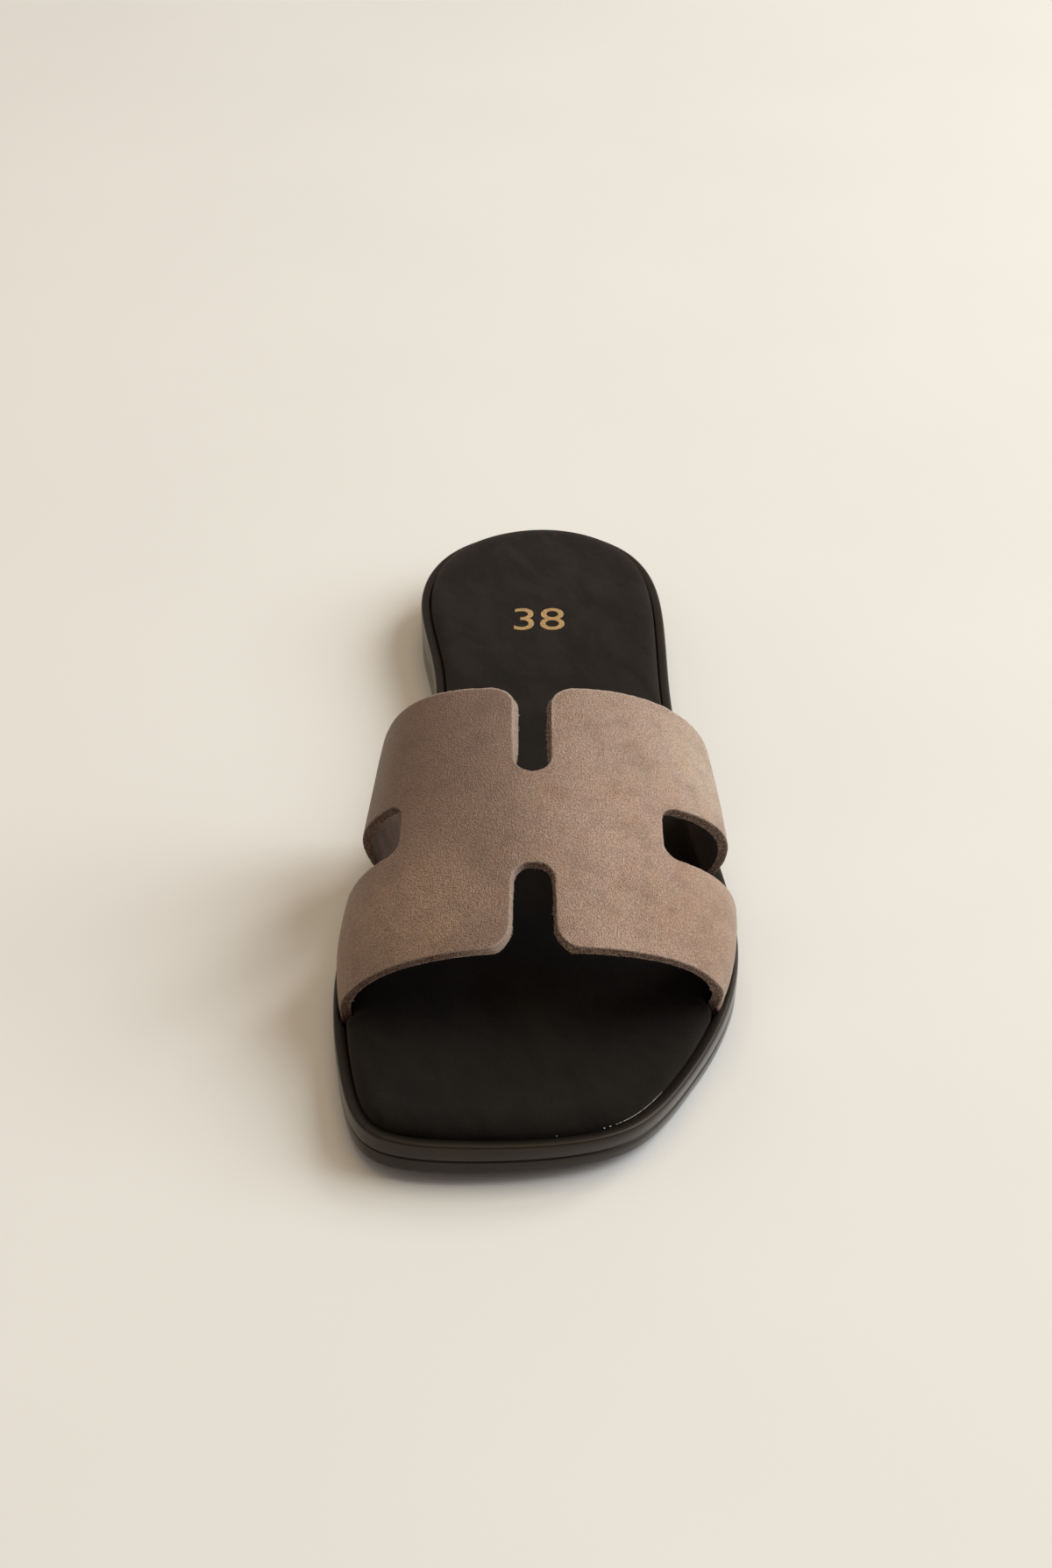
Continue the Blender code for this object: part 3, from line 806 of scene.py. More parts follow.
def select_arris(piece, height):
    """Select the edges between the cut wall and the face of the leather at a height."""
    bpy.ops.mesh.select_all(action="DESELECT")
    bpy.ops.mesh.select_mode(type="EDGE")
    mesh = bmesh.from_edit_mesh(piece.data)
    for edge in mesh.edges:
        level = all(abs(vert.co.z - height * MM) < LEVEL_WITHIN * MM for vert in edge.verts)
        flat_faces = sum(abs(face.normal.z) > FLAT for face in edge.link_faces)
        edge.select_set(level and flat_faces == 1)
    bmesh.update_edit_mesh(piece.data)


bpy.ops.mesh.select_all(action="SELECT")
bpy.ops.mesh.extrude_region_move(TRANSFORM_OT_translate={"value": (0, 0, -LEATHER * MM)})
bpy.ops.mesh.select_all(action="SELECT")
bpy.ops.mesh.normals_make_consistent(inside=False)
for edge_name, height, radius, segments in ROUNDED_EDGES:
    select_arris(strap, height)
    bpy.ops.mesh.bevel(offset=radius * MM, offset_type="OFFSET", segments=segments, affect="EDGES")

bpy.ops.mesh.select_all(action="DESELECT")
sheet = bmesh.from_edit_mesh(strap.data)
for edge in sheet.edges:
    first, second = edge.verts
    upright = abs(first.co.z - second.co.z) > FLAT * LEATHER * MM
    edge.select_set(upright)
bmesh.update_edit_mesh(strap.data)
bpy.ops.mesh.subdivide(number_cuts=WALL_CUTS)
bpy.ops.object.mode_set(mode="OBJECT")
print("thick H:", len(strap.data.polygons), "faces")

# %% [markdown]
# While the leather is flat, it is easy to say which face is which: what looks up is the grain side, what
# looks down is the flesh side, and the rest is the cut. So the faces get their material slots now. The flat
# places are also kept as a UV map in metres, so that the grain follows the hide round every bend, and the
# depth in the leather is kept as an attribute, from 0 at the outer face to 1 at the flesh side.

# %% Mark the sides of the leather and keep the flat pattern as a UV map
GRAIN_SLOT = 0
CUT_SLOT = 1
FLESH_SLOT = 2
GRAIN_LIMIT = 0.80
FLESH_LIMIT = -0.75


def on_hide(across, depth):
    """Flat places on the hide in millimetres, from shares of the legs and depths."""
    length = np.where(across < 0, leg_length(depth, MEDIAL), leg_length(depth, LATERAL))
    return np.stack([across * length, depth], axis=1)


flat_places = np.array([vert.co for vert in strap.data.vertices]) / MM
across_share = flat_places[:, 0] / PATTERN_HALF
depth_place = flat_places[:, 1]
below_face = -flat_places[:, 2]
for slot in (GRAIN_SLOT, CUT_SLOT, FLESH_SLOT):
    strap.data.materials.append(None)
for face in strap.data.polygons:
    up = face.normal.z
    face.material_index = GRAIN_SLOT if up > GRAIN_LIMIT else FLESH_SLOT if up < FLESH_LIMIT else CUT_SLOT
hide_places = on_hide(across_share, depth_place) * MM
corner_verts = np.array([loop.vertex_index for loop in strap.data.loops])
hide_map = strap.data.uv_layers.new(name="hide")
hide_map.data.foreach_set("uv", hide_places[corner_verts].astype(np.float32).ravel())
depth_in = strap.data.attributes.new("below", "FLOAT", "POINT")
depth_in.data.foreach_set("value", (below_face / LEATHER).astype(np.float32))
slot_counts = np.bincount([face.material_index for face in strap.data.polygons])
print("faces on grain, cut and flesh side:", slot_counts.tolist())

# %% [markdown]
# A bent strap is never as even as its drawing. Slow, shallow swells in the leather break up the highlights.
# The knife did not stand quite upright, so the flesh side reaches a little past the grain side, and most of
# all in the slots. And the cut is rough: its fibres stand out by a tenth of a millimetre here and there, at
# random, so a fixed seed keeps every run the same. The distance from the cutting line is kept as an
# attribute too, so that the finish knows where the arris is.

# %% Bend the leather over the last
SWELL_SIZE = 19.0
SWELL_HEIGHT = 0.28
SWELL_LAYER = 3.0
ROUGH_SIZE = 0.55
ROUGH_HEIGHT = 0.14
SEED = 38
# How far the cut leans out at the flesh side: at most edges, at the front edge and in both slots
EDGE_LEAN = 0.12
FRONT_LEAN = 0.45
FRONT_SLOT_LEAN = 0.70
REAR_SLOT_LEAN = 1.05
# Where the front edge's and the slots' lean hold, and the lengths over which they fade
FRONT_EDGE_DEPTH = 6.0
FRONT_EDGE_FADE = 4.0
MOUTH_HALF = 6.0
MOUTH_FADE = 5.0
SLOT_ZONE = 20.0
SLOT_END_FADE = 8.0
LEAN_WIDTH = 1.6
STRAP_SMOOTH_ANGLE = 70


def swell(places):
    """Slow unevenness of the leather over its flat places."""
    heights = [noise.noise((x / SWELL_SIZE, y / SWELL_SIZE, SWELL_LAYER)) for x, y in places]
    return SWELL_HEIGHT * np.array(heights)


def strap_place(across, depth, below):
    """Place on the shoe of points of the leather, with its slow swells."""
    return wear(across, depth, below - swell(on_hide(across, depth)))


def cut_lean(places, sideways, below):
    """How far the cut stands out past the cutting line at a depth in the leather."""
    slot_lean = np.where(places[:, 1] < PATTERN_DEPTH / 2, FRONT_SLOT_LEAN, REAR_SLOT_LEAN)
    in_slot = sideways ** 2 * (np.abs(places[:, 0]) < SLOT_ZONE)
    from_end = np.abs(places[:, 1] - (PATTERN_DEPTH - REAR_SLOT_REACH))
    in_slot = in_slot * np.where(places[:, 1] < PATTERN_DEPTH / 2, 1.0, ease(from_end / SLOT_END_FADE))
    near_front = ease((FRONT_EDGE_DEPTH - places[:, 1]) / FRONT_EDGE_FADE)
    past_mouth = ease((np.abs(places[:, 0]) - MOUTH_HALF) / MOUTH_FADE)
    edge_lean = EDGE_LEAN + (FRONT_LEAN - EDGE_LEAN) * near_front * past_mouth
    return (edge_lean + (slot_lean - edge_lean) * in_slot) * below / LEATHER


def line_outward(indices):
    """Direction away from the leather at points of the cutting line."""
    ahead = CUT_LINE[(indices + 1) % len(CUT_LINE)] - CUT_LINE[indices - 1]
    return np.stack([ahead[:, 1], -ahead[:, 0]], axis=1) / np.linalg.norm(ahead, axis=1)[:, None]


line_tree = kdtree.KDTree(len(CUT_LINE))
for index, (x, y) in enumerate(CUT_LINE):
    line_tree.insert((x, y, 0), index)
line_tree.balance()
found = [line_tree.find((x, y, 0)) for x, y, z in flat_places]
nearest = np.array([index for place, index, distance in found])
from_line = np.array([distance for place, index, distance in found])
cut_faces = [face for face in strap.data.polygons if face.material_index == CUT_SLOT]
on_cut = np.zeros(len(flat_places), bool)
on_cut[[index for face in cut_faces for index in face.vertices]] = True
aside = line_outward(nearest)
lean = cut_lean(CUT_LINE[nearest], aside[:, 0], below_face) * np.clip(1 - from_line / LEAN_WIDTH, 0, 1)
leaned = flat_places[:, :2] + lean[:, None] * aside
strap.data.attributes.new("from_cut", "FLOAT", "POINT").data.foreach_set("value", from_line)
worn = strap_place(leaned[:, 0] / PATTERN_HALF, leaned[:, 1], below_face)
noise.seed_set(SEED)
rough = np.array([noise.noise_vector(Vector(place / ROUGH_SIZE)) for place in worn[on_cut]])
worn[on_cut] += ROUGH_HEIGHT * rough
strap.data.vertices.foreach_set("co", (worn * MM).astype(np.float32).ravel())
strap.data.update()
bpy.ops.object.shade_smooth_by_angle(angle=math.radians(STRAP_SMOOTH_ANGLE))
print(strap.name, "bent, mm:", [round(size / MM, 1) for size in strap.dimensions])

# %% [markdown]
# ## Fuzz along the cut
# A knife leaves the flesh side's edge slightly frayed: pale fibre ends stick out along the lower arris of
# the cut, in tufts with bare stretches between them. One fibre is a three-sided cone, modelled once. Its
# copies are scattered along the cutting line and joined into one mesh, because hundreds of separate objects
# would be slow to handle. They are scattered with the same seed.

# %% Model one fibre
bpy.ops.object.select_all(action="DESELECT")
bpy.ops.mesh.primitive_cone_add(vertices=3, radius1=1.0, radius2=0.0, depth=1.0)
fuzz = bpy.context.object
fuzz.name = "edge_fibres"
bpy.ops.object.mode_set(mode="EDIT")
bpy.ops.mesh.select_all(action="SELECT")
bpy.ops.transform.translate(value=(0, 0, 0.5))
bpy.ops.mesh.normals_make_consistent(inside=False)
bpy.ops.object.mode_set(mode="OBJECT")


def join_copies(piece, roots, frames):
    """Replace a piece's mesh by copies of it, each in a frame of three scaled directions at its root."""
    shape = np.array([vert.co for vert in piece.data.vertices])
    faces = np.array([face.vertices[:] for face in piece.data.polygons])
    points = roots[:, None, :] + np.einsum("vk,ckx->cvx", shape, frames)
    corners = faces[None] + len(shape) * np.arange(len(roots))[:, None, None]
    joined = bpy.data.meshes.new(piece.name)
    corner_lists = corners.reshape(-1, faces.shape[1]).tolist()
    joined.from_pydata((points.reshape(-1, 3) * MM).tolist(), [], corner_lists)
    piece.data = joined
    print(piece.name, "has", len(roots), "copies and", len(joined.polygons), "faces")


# %% Scatter the fibres along the cut
FIBRE_COUNT = 6000
FIBRE_LENGTH = (0.25, 0.85)
FIBRE_WIDTH = (0.055, 0.105)
FIBRE_TRIM = (0.5, 1.0)
FIBRE_BAND = (0.62, 1.0)
# Mean and spread of a fibre's tilt: outwards from the cut, towards the outer face, along the cut
FIBRE_TILT = (0.0, -0.35, 0.0)
FIBRE_TILT_SPREAD = (0.35, 0.40, 0.55)
FIBRE_TWIST = 0.3
ROOT_SINK = 0.08
TUFT_SIZE = 3.0
TUFT_LAYER = 7.0
TUFT_LIMITS = (-0.1, 0.5)
LEG_HIDDEN = 0.88
PROBE = 0.3


def unit(directions):
    """Directions scaled to length 1."""
    return directions / np.linalg.norm(directions, axis=1)[:, None]


scatter = np.random.default_rng(SEED)
along_line = np.sort(scatter.integers(0, len(CUT_LINE), FIBRE_COUNT))
tuft = np.array([noise.noise((place * LINE_STEP / TUFT_SIZE, TUFT_LAYER, 0.0)) for place in along_line])
in_sight = np.abs(CUT_LINE[along_line, 0]) < LEG_HIDDEN * PATTERN_HALF
along_line = along_line[in_sight & (tuft > scatter.uniform(*TUFT_LIMITS, FIBRE_COUNT))]
fibre_below = LEATHER * scatter.uniform(*FIBRE_BAND, len(along_line))
aside = line_outward(along_line)
fibre_lean = cut_lean(CUT_LINE[along_line], aside[:, 0], fibre_below)
line_places = CUT_LINE[along_line] + fibre_lean[:, None] * aside
inner_places = line_places - PROBE * aside
roots = strap_place(line_places[:, 0] / PATTERN_HALF, line_places[:, 1], fibre_below)
away = unit(roots - strap_place(inner_places[:, 0] / PATTERN_HALF, inner_places[:, 1], fibre_below))
face_out = outward(line_places[:, 0] / PATTERN_HALF, line_places[:, 1])
tilt = scatter.normal(FIBRE_TILT, FIBRE_TILT_SPREAD, (len(roots), 3))
along_cut = np.cross(away, face_out)
lengthwise = unit((1 + tilt[:, :1]) * away + tilt[:, 1:2] * face_out + tilt[:, 2:] * along_cut)
widthwise = unit(np.cross(lengthwise, face_out + FIBRE_TWIST * away))
width = scatter.uniform(*FIBRE_WIDTH, (len(roots), 1))
length = scatter.uniform(*FIBRE_LENGTH, (len(roots), 1)) * scatter.uniform(*FIBRE_TRIM, (len(roots), 1))
thickwise = np.cross(lengthwise, widthwise)
frames = np.stack([widthwise * width, thickwise * width, lengthwise * length], axis=1)
join_copies(fuzz, roots - ROOT_SINK * away, frames)

# %% [markdown]
# ## A trace of cement
# Where the insole was pressed into the tray, a little cement came up beside it near the little toe. It
# dried as a thin pale line that breaks up into dots. It is a row of small beads on the gap between insole
# and rim, and all of them are copies of one coarse sphere, squeezed a little.

# %% Lay the beads of cement
# Runs of beads in the gap: place, offset of the first, offset of the last, beads, radius
CEMENT_RUNS = (
    ("line", 25.8, 17.4, 58, 0.10),
    ("broken end", 16.9, 15.9, 4, 0.13),
    ("first dot", 14.7, 14.5, 2, 0.17),
    ("second dot", 13.4, 13.3, 2, 0.16),
    ("stray dot", 3.5, 3.5, 1, 0.15),
)
CEMENT_LIFT = 0.10
BEAD_SPREAD = (0.7, 1.15)
BEAD_SQUEEZE = (1.0, 1.0, 0.75)
TOE_RUN_START = 215.0

bpy.ops.object.select_all(action="DESELECT")
bpy.ops.mesh.primitive_ico_sphere_add(subdivisions=2, radius=1.0)
cement = bpy.context.object
cement.name = "cement_trace"
gap_line = inset_outline(rim_width + GAP / 2)[:POINTS_PER_SIDE + 1]
gap_line = gap_line[gap_line[:, 1] > TOE_RUN_START][::-1]
bead_offsets = np.concatenate([np.linspace(*row[1:4]) for row in CEMENT_RUNS])
bead_radii = np.concatenate([np.full(row[3], row[4]) for row in CEMENT_RUNS])
bead_radii = bead_radii * scatter.uniform(*BEAD_SPREAD, len(bead_radii))
bead_stations = np.interp(bead_offsets, gap_line[:, 0], gap_line[:, 1])
bead_places = to_frame(bead_offsets, bead_stations, RIM_TOP(bead_stations) + CEMENT_LIFT)
bead_frames = np.diag(BEAD_SQUEEZE)[None] * bead_radii[:, None, None]
join_copies(cement, bead_places, bead_frames)
for face in cement.data.polygons:
    face.use_smooth = True

# %% [markdown]
# ## The size on the insole
# The size is stamped under the heel in gold foil, a European 38 for a sole of this length. The number starts
# as a text object, is made a mesh, and every vertex is then laid on the insole's top.

# %% Lay the size number on the insole
SIZE_NUMBER = "38"
NUMBER_HEIGHT = 15.0
NUMBER_OFFSET = 0.5
NUMBER_STATION = 59.0
FOIL_SINK = 0.06
FOIL_STAND = 0.05

bpy.ops.object.select_all(action="DESELECT")
bpy.ops.object.text_add()
number = bpy.context.object
number.data.body = SIZE_NUMBER
number.data.align_x = "CENTER"
number.data.size = NUMBER_HEIGHT * MM
number.data.extrude = FOIL_STAND * MM
bpy.ops.object.convert(target="MESH")
number.name = "size_number_foil"
number_points = np.array([vert.co for vert in number.data.vertices]) / MM
foil_places = number_points.copy()
foil_places[:, 0] += NUMBER_OFFSET
foil_places[:, 1] += SOLE_LENGTH / 2 - NUMBER_STATION
from_edge = np.linalg.norm(foil_places[:, None, :2] - insole_rings[-1][None, :, :2], axis=2).min(axis=1)
foil_stand = np.where(number_points[:, 2] > 0, FOIL_STAND, -FOIL_SINK)
foil_places[:, 2] = insole_top(foil_places, from_edge) + foil_stand
number.data.vertices.foreach_set("co", (foil_places * MM).astype(np.float32).ravel())
number.data.update()
bpy.ops.object.mode_set(mode="EDIT")
bpy.ops.mesh.select_all(action="SELECT")
bpy.ops.mesh.remove_doubles(threshold=WELD * MM)
close_piece(number, smooth_angle=30)

# %% [markdown]
# ## Finishes
# Every finish below is made of nodes and needs no picture. Noise in a few sizes does most of the work: slow
# clouds for uneven dye, cells for the grain, and the finest noise for nap and dust. Sizes are given in
# millimetres, so that each pattern has its real scale. A bump node turns heights in metres into shading.

# %% Helpers for nodes
def new_finish(name):
    """Make a material and return it with its node tree and its shader."""
    material = bpy.data.materials.new(name)
    material.use_nodes = True
    return material, material.node_tree, material.node_tree.nodes["Principled BSDF"]


def connect(tree, value, socket):
    """Link another node's output to a socket, or set the socket's own value."""
    if isinstance(value, bpy.types.NodeSocket):
        tree.links.new(value, socket)
    else:
        socket.default_value = value


def add_node(tree, kind, settings=None, **sockets):
    """Add a node, set its properties, and set or link its input sockets by name."""
    node = tree.nodes.new(kind)
    for name, value in (settings or {}).items():
        setattr(node, name, value)
    for name, value in sockets.items():
        connect(tree, value, node.inputs[name.replace("_", " ")])
    return node


def calculate(tree, operation, first, second):
    """Result of a calculation with two values."""
    made = add_node(tree, "ShaderNodeMath", {"operation": operation})
    connect(tree, first, made.inputs[0])
    connect(tree, second, made.inputs[1])
    return made.outputs[0]


def sums(tree, *values):
    """Add values up, each times its weight, which may be another value."""
    total = None
    for value, weight in values:
        part = calculate(tree, "MULTIPLY", value, weight)
        total = part if total is None else calculate(tree, "ADD", total, part)
    return total


def fit(tree, value, low, high, to_low=0.0, to_high=1.0):
    """Map a range of a value to another range, clamped and eased."""
    made = add_node(tree, "ShaderNodeMapRange", {"interpolation_type": "SMOOTHSTEP"}, Value=value,
                    From_Min=low, From_Max=high, To_Min=to_low, To_Max=to_high)
    return made.outputs["Result"]


# %% Helpers for patterns and colours
def drawn_out(tree, coordinates, turn, times):
    """Coordinates whose patterns are drawn out by a number of times along a direction in degrees."""
    mapping = add_node(tree, "ShaderNodeMapping", {"vector_type": "TEXTURE"}, Vector=coordinates,
                       Rotation=(0, 0, math.radians(turn)), Scale=(times, 1.0, 1.0))
    return mapping.outputs["Vector"]


def cloud(tree, coordinates, size, detail=2.0, rough=0.5, sway=0.0):
    """Noise whose features are about a size in millimetres."""
    made = add_node(tree, "ShaderNodeTexNoise", Vector=coordinates, Scale=1 / (size * MM),
                    Detail=detail, Roughness=rough, Distortion=sway)
    return made.outputs["Fac"]


def colour(red, green, blue):
    """A colour socket's value from linear red, green and blue."""
    return (red, green, blue, 1.0)


def blend_colours(tree, share, first, second, way="MIX"):
    """Mix two colours by a share, or multiply the first by the second by a share."""
    made = add_node(tree, "ShaderNodeMix", {"data_type": "RGBA", "blend_type": way})
    colour_sockets = [socket for socket in made.inputs if socket.type == "RGBA"]
    connect(tree, share, made.inputs["Factor"])
    connect(tree, first, colour_sockets[0])
    connect(tree, second, colour_sockets[1])
    return next(socket for socket in made.outputs if socket.type == "RGBA")


def between(tree, share, shades):
    """Mix a darker and a lighter shade by a share."""
    darker, lighter = shades
    return blend_colours(tree, share, colour(*darker), colour(*lighter))


def tinted(tree, share, base, tint):
    """Multiply a colour by a tint, by a share."""
    return blend_colours(tree, share, base, colour(*tint), "MULTIPLY")


def raise_surface(tree, shader, height, depth):
    """Give a shader a bump from heights between 0 and 1 and a depth in millimetres."""
    bump = add_node(tree, "ShaderNodeBump", Height=height, Distance=depth * MM, Strength=1.0)
    connect(tree, bump.outputs["Normal"], shader.inputs["Normal"])


# %% [markdown]
# ## Moulded rubber
# Black rubber is never quite black: it is a dark, slightly warm grey. The rim and the tread are dull, and
# the side wall has a satin lacquer that mirrors the room. The wall is told from the rest by its upright
# faces, which also get a lighter, warmer shade than the rim: painted light on the wall. A very fine mould
# texture softens the highlights, and slow changes in gloss show where it was handled.

# %% Rubber finish
# Darker and lighter shade of each surface, in linear red, green and blue
DULL_RUBBER = ((0.0066, 0.0058, 0.0049), (0.0096, 0.0086, 0.0073))
# Shades of the side wall, lighter and warmer than the rim's as painted light
LIT_WALL_RUBBER = ((0.0110, 0.0092, 0.0075), (0.0160, 0.0134, 0.0110))
LACQUER_TINT = (1.0, 0.85, 0.71)
# How level a face is where the lacquer and the wall's painted light start and where they are full: 1 is
# flat and 0 is upright
LACQUER_AND_LIGHT_START = 0.80
LACQUER_AND_LIGHT_FULL = 0.30


def rubber_finish():
    """Moulded rubber: a dull black rim and tread, and a side wall with a satin lacquer and painted light."""
    material, tree, shader = new_finish("rubber_satin_black")
    place = add_node(tree, "ShaderNodeTexCoord").outputs["Object"]
    slow = cloud(tree, place, size=14.0, detail=3.0)
    fine = cloud(tree, place, size=0.35, detail=3.0, rough=0.6)
    facing = add_node(tree, "ShaderNodeNewGeometry").outputs["Normal"]
    upward = add_node(tree, "ShaderNodeSeparateXYZ", Vector=facing).outputs["Z"]
    level = add_node(tree, "ShaderNodeMath", {"operation": "ABSOLUTE"}, Value=upward).outputs["Value"]
    lacquer_and_light = fit(tree, level, LACQUER_AND_LIGHT_START, LACQUER_AND_LIGHT_FULL)
    tone = fit(tree, slow, 0.3, 0.7)
    dull = between(tree, tone, DULL_RUBBER)
    # The wall's lighter shade is painted light.
    satin = between(tree, tone, LIT_WALL_RUBBER)
    connect(tree, blend_colours(tree, lacquer_and_light, dull, satin), shader.inputs["Base Color"])
    gloss = sums(tree, (slow, 0.10), (fine, 0.06), (lacquer_and_light, -0.20), (1.0, 0.34))
    connect(tree, gloss, shader.inputs["Roughness"])
    shader.inputs["Specular IOR Level"].default_value = 0.36
    shader.inputs["Specular Tint"].default_value = colour(*LACQUER_TINT)
    raise_surface(tree, shader, sums(tree, (fine, 0.8), (slow, 0.2)), 0.03)
    return material


sole.data.materials.append(rubber_finish())
print("sole finish:", sole.data.materials[0].name)


# %% [markdown]
# ## Black suede
# Suede is leather with its nap brushed up. Its short fibres scatter light, so it has no highlights, only
# a soft sheen where it turns away, and stroking leaves lighter and darker patches. Its shade is painted
# lighter under the heel, as painted light, and darker at the toe, as painted shade, so it has two pairs of
# shades and passes from one to the other.

# %% Suede finish
# Painted shade at the toe and painted light under the heel, in linear red, green and blue
SHADED_TOE_SUEDE = ((0.0030, 0.0024, 0.0020), (0.0125, 0.0102, 0.0086))
LIT_HEEL_SUEDE = ((0.0060, 0.0048, 0.0040), (0.0250, 0.0205, 0.0172))
SUEDE_SHEEN = (0.75, 0.68, 0.62)
# Places along the shoe, in millimetres of Y, where the heel's painted light starts and where it is full
HEEL_LIGHT_START = -70.0
HEEL_LIGHT_FULL = 95.0


def suede_finish():
    """Black suede with a short, brushed nap."""
    material, tree, shader = new_finish("suede_black")
    place = add_node(tree, "ShaderNodeTexCoord").outputs["Object"]
    strokes = drawn_out(tree, place, turn=110.0, times=2.0)
    stroked = cloud(tree, strokes, size=9.0, detail=4.0, rough=0.6, sway=0.4)
    nap = cloud(tree, place, size=0.30, detail=4.0, rough=0.75)
    tufts = cloud(tree, place, size=1.4, detail=3.0, rough=0.6)
    tone = sums(tree, (fit(tree, stroked, 0.35, 0.65), 0.40), (fit(tree, nap, 0.35, 0.7), 0.40),
                (tufts, 0.20))
    along = add_node(tree, "ShaderNodeSeparateXYZ", Vector=place).outputs["Y"]
    # Painted shade at the toe passes into painted light under the heel.
    heel_light = fit(tree, along, HEEL_LIGHT_START * MM, HEEL_LIGHT_FULL * MM)
    shaded_toe_nap = between(tree, tone, SHADED_TOE_SUEDE)
    lit_heel_nap = between(tree, tone, LIT_HEEL_SUEDE)
    connect(tree, blend_colours(tree, heel_light, shaded_toe_nap, lit_heel_nap), shader.inputs["Base Color"])
    shader.inputs["Roughness"].default_value = 0.95
    shader.inputs["Specular IOR Level"].default_value = 0.12
    shader.inputs["Sheen Weight"].default_value = 0.10
    shader.inputs["Sheen Roughness"].default_value = 0.45
    shader.inputs["Sheen Tint"].default_value = colour(*SUEDE_SHEEN)
    raise_surface(tree, shader, sums(tree, (nap, 0.7), (tufts, 0.3)), 0.12)
    return material


insole.data.materials.append(suede_finish())
print("insole finish:", insole.data.materials[0].name)


# %% [markdown]
# ## Taupe leather
# The grain side is matt and fine: small pebbles parted by creases, slightly drawn out in one direction. The
# dye clouds from ochre and mauve to olive. Painted shade makes it dark on the medial side and painted light
# makes it pale on the lateral one, with soft patches that darken or lighten it. Along the rear edge the
# arris is paler, partly rubbed and partly a painted highlight.

# %% Dye of the grain side, with painted light and shade
# Soft patches that darken or lighten the dye, painted shade on the medial side at the rear and a painted
# highlight on the lateral shoulder at the rear: place, across the hide and back from its front edge, reach,
# strength, colour
SHADE_AND_LIGHT_PATCHES = (
    ("medial shoulder, rear", -52.0, 64.0, 44.0, 0.55, (0.148, 0.063, 0.025)),
    ("medial quarter, rear", -16.0, 60.0, 22.0, 0.25, (0.126, 0.068, 0.042)),
    ("medial leg, front", -56.0, 12.0, 26.0, 0.60, (0.410, 0.208, 0.084)),
    ("medial band, front", -26.0, 11.0, 24.0, 0.60, (0.500, 0.322, 0.206)),
    ("lateral band, front", 40.0, 11.0, 26.0, 0.75, (0.490, 0.302, 0.198)),
    ("lateral quarter, rear", 18.0, 60.0, 22.0, 0.50, (0.545, 0.380, 0.305)),
    ("lateral shoulder, rear", 48.0, 62.0, 28.0, 0.85, (0.690, 0.530, 0.410)),
    ("lateral shoulder, middle", 48.0, 36.0, 13.0, 0.35, (0.410, 0.245, 0.135)),
)
# Shades of the dye: painted shade for the medial side, painted light for the lateral side
SHADED_DYE = ((0.240, 0.130, 0.076), (0.318, 0.183, 0.116))
LIT_DYE = ((0.545, 0.364, 0.278), (0.620, 0.430, 0.345))
# Tints that the dye is multiplied by
OCHRE = (1.0, 0.94, 0.85)
MAUVE = (0.97, 0.90, 0.94)
OLIVE = (0.88, 0.94, 0.90)
BLOTCH = (0.84, 0.81, 0.79)


def soft_patch(tree, hide, across, depth, reach):
    """Share of a round patch with a soft, wandering edge on the hide."""
    offset = add_node(tree, "ShaderNodeVectorMath", {"operation": "DISTANCE"})
    connect(tree, hide, offset.inputs[0])
    connect(tree, (across * MM, depth * MM, 0.0), offset.inputs[1])
    wander = cloud(tree, hide, size=9.0, detail=3.0, rough=0.6)
    distance = sums(tree, (offset.outputs["Value"], 1 / (reach * MM)), (wander, 0.7), (1.0, -0.35))
    return fit(tree, distance, 1.0, 0.15)


def dye_with_painted_light(tree, hide, slow, fade):
    """Dye with painted shade medially and painted light laterally, with its soft patches and clouds of tint.
    """
    drawn = drawn_out(tree, hide, turn=115.0, times=1.6)
    patch = cloud(tree, drawn, size=5.5, detail=4.0, rough=0.65, sway=0.5)
    freckle = cloud(tree, hide, size=2.6, detail=3.0, rough=0.6)
    blotch = cloud(tree, hide, size=7.0, detail=3.0, rough=0.6, sway=0.4)
    # Painted shade on the medial side passes into painted light on the lateral side
    dye = blend_colours(tree, fade, between(tree, slow, SHADED_DYE), between(tree, slow, LIT_DYE))
    # Soft patches of painted shade and painted light
    for place, across, depth, reach, strength, patch_colour in SHADE_AND_LIGHT_PATCHES:
        share = sums(tree, (soft_patch(tree, hide, across, depth, reach), strength))
        dye = blend_colours(tree, share, dye, colour(*patch_colour))
    dye = tinted(tree, fit(tree, patch, 0.50, 0.68), dye, OCHRE)
    dye = tinted(tree, fit(tree, patch, 0.46, 0.30), dye, MAUVE)
    dye = tinted(tree, fit(tree, freckle, 0.54, 0.68), dye, OLIVE)
    return tinted(tree, fit(tree, blotch, 0.46, 0.64), dye, BLOTCH)


# %% Grain side
PEBBLE_SIZE = 0.27
# Colour of the creases: partly their own darker colour, partly painted shade of the grain
CREASE_SHADE = (0.074, 0.042, 0.028)
DUST = (0.420, 0.310, 0.240)
# Pale arris: partly rubbed, partly a painted highlight
RUBBED_AND_LIT = (0.560, 0.445, 0.375)
# Places across the hide where painted light starts to replace painted shade and where it is full, and how
# far that line wanders
PAINTED_LIGHT_START = -14.0
PAINTED_LIGHT_END = 17.0
PAINTED_LIGHT_WANDER = 16.0
# Depths back from the front edge where the pale arris, partly rubbed and partly a painted highlight, starts
# and where it is strongest
RUB_AND_LIGHT_START = 46.0
RUB_AND_LIGHT_FULL = 62.0
# Distance from the cut over which the rubbing and its painted highlight fade
RUB_AND_LIGHT_WIDTH = 0.85
RUB_AND_LIGHT_BARE = 0.15


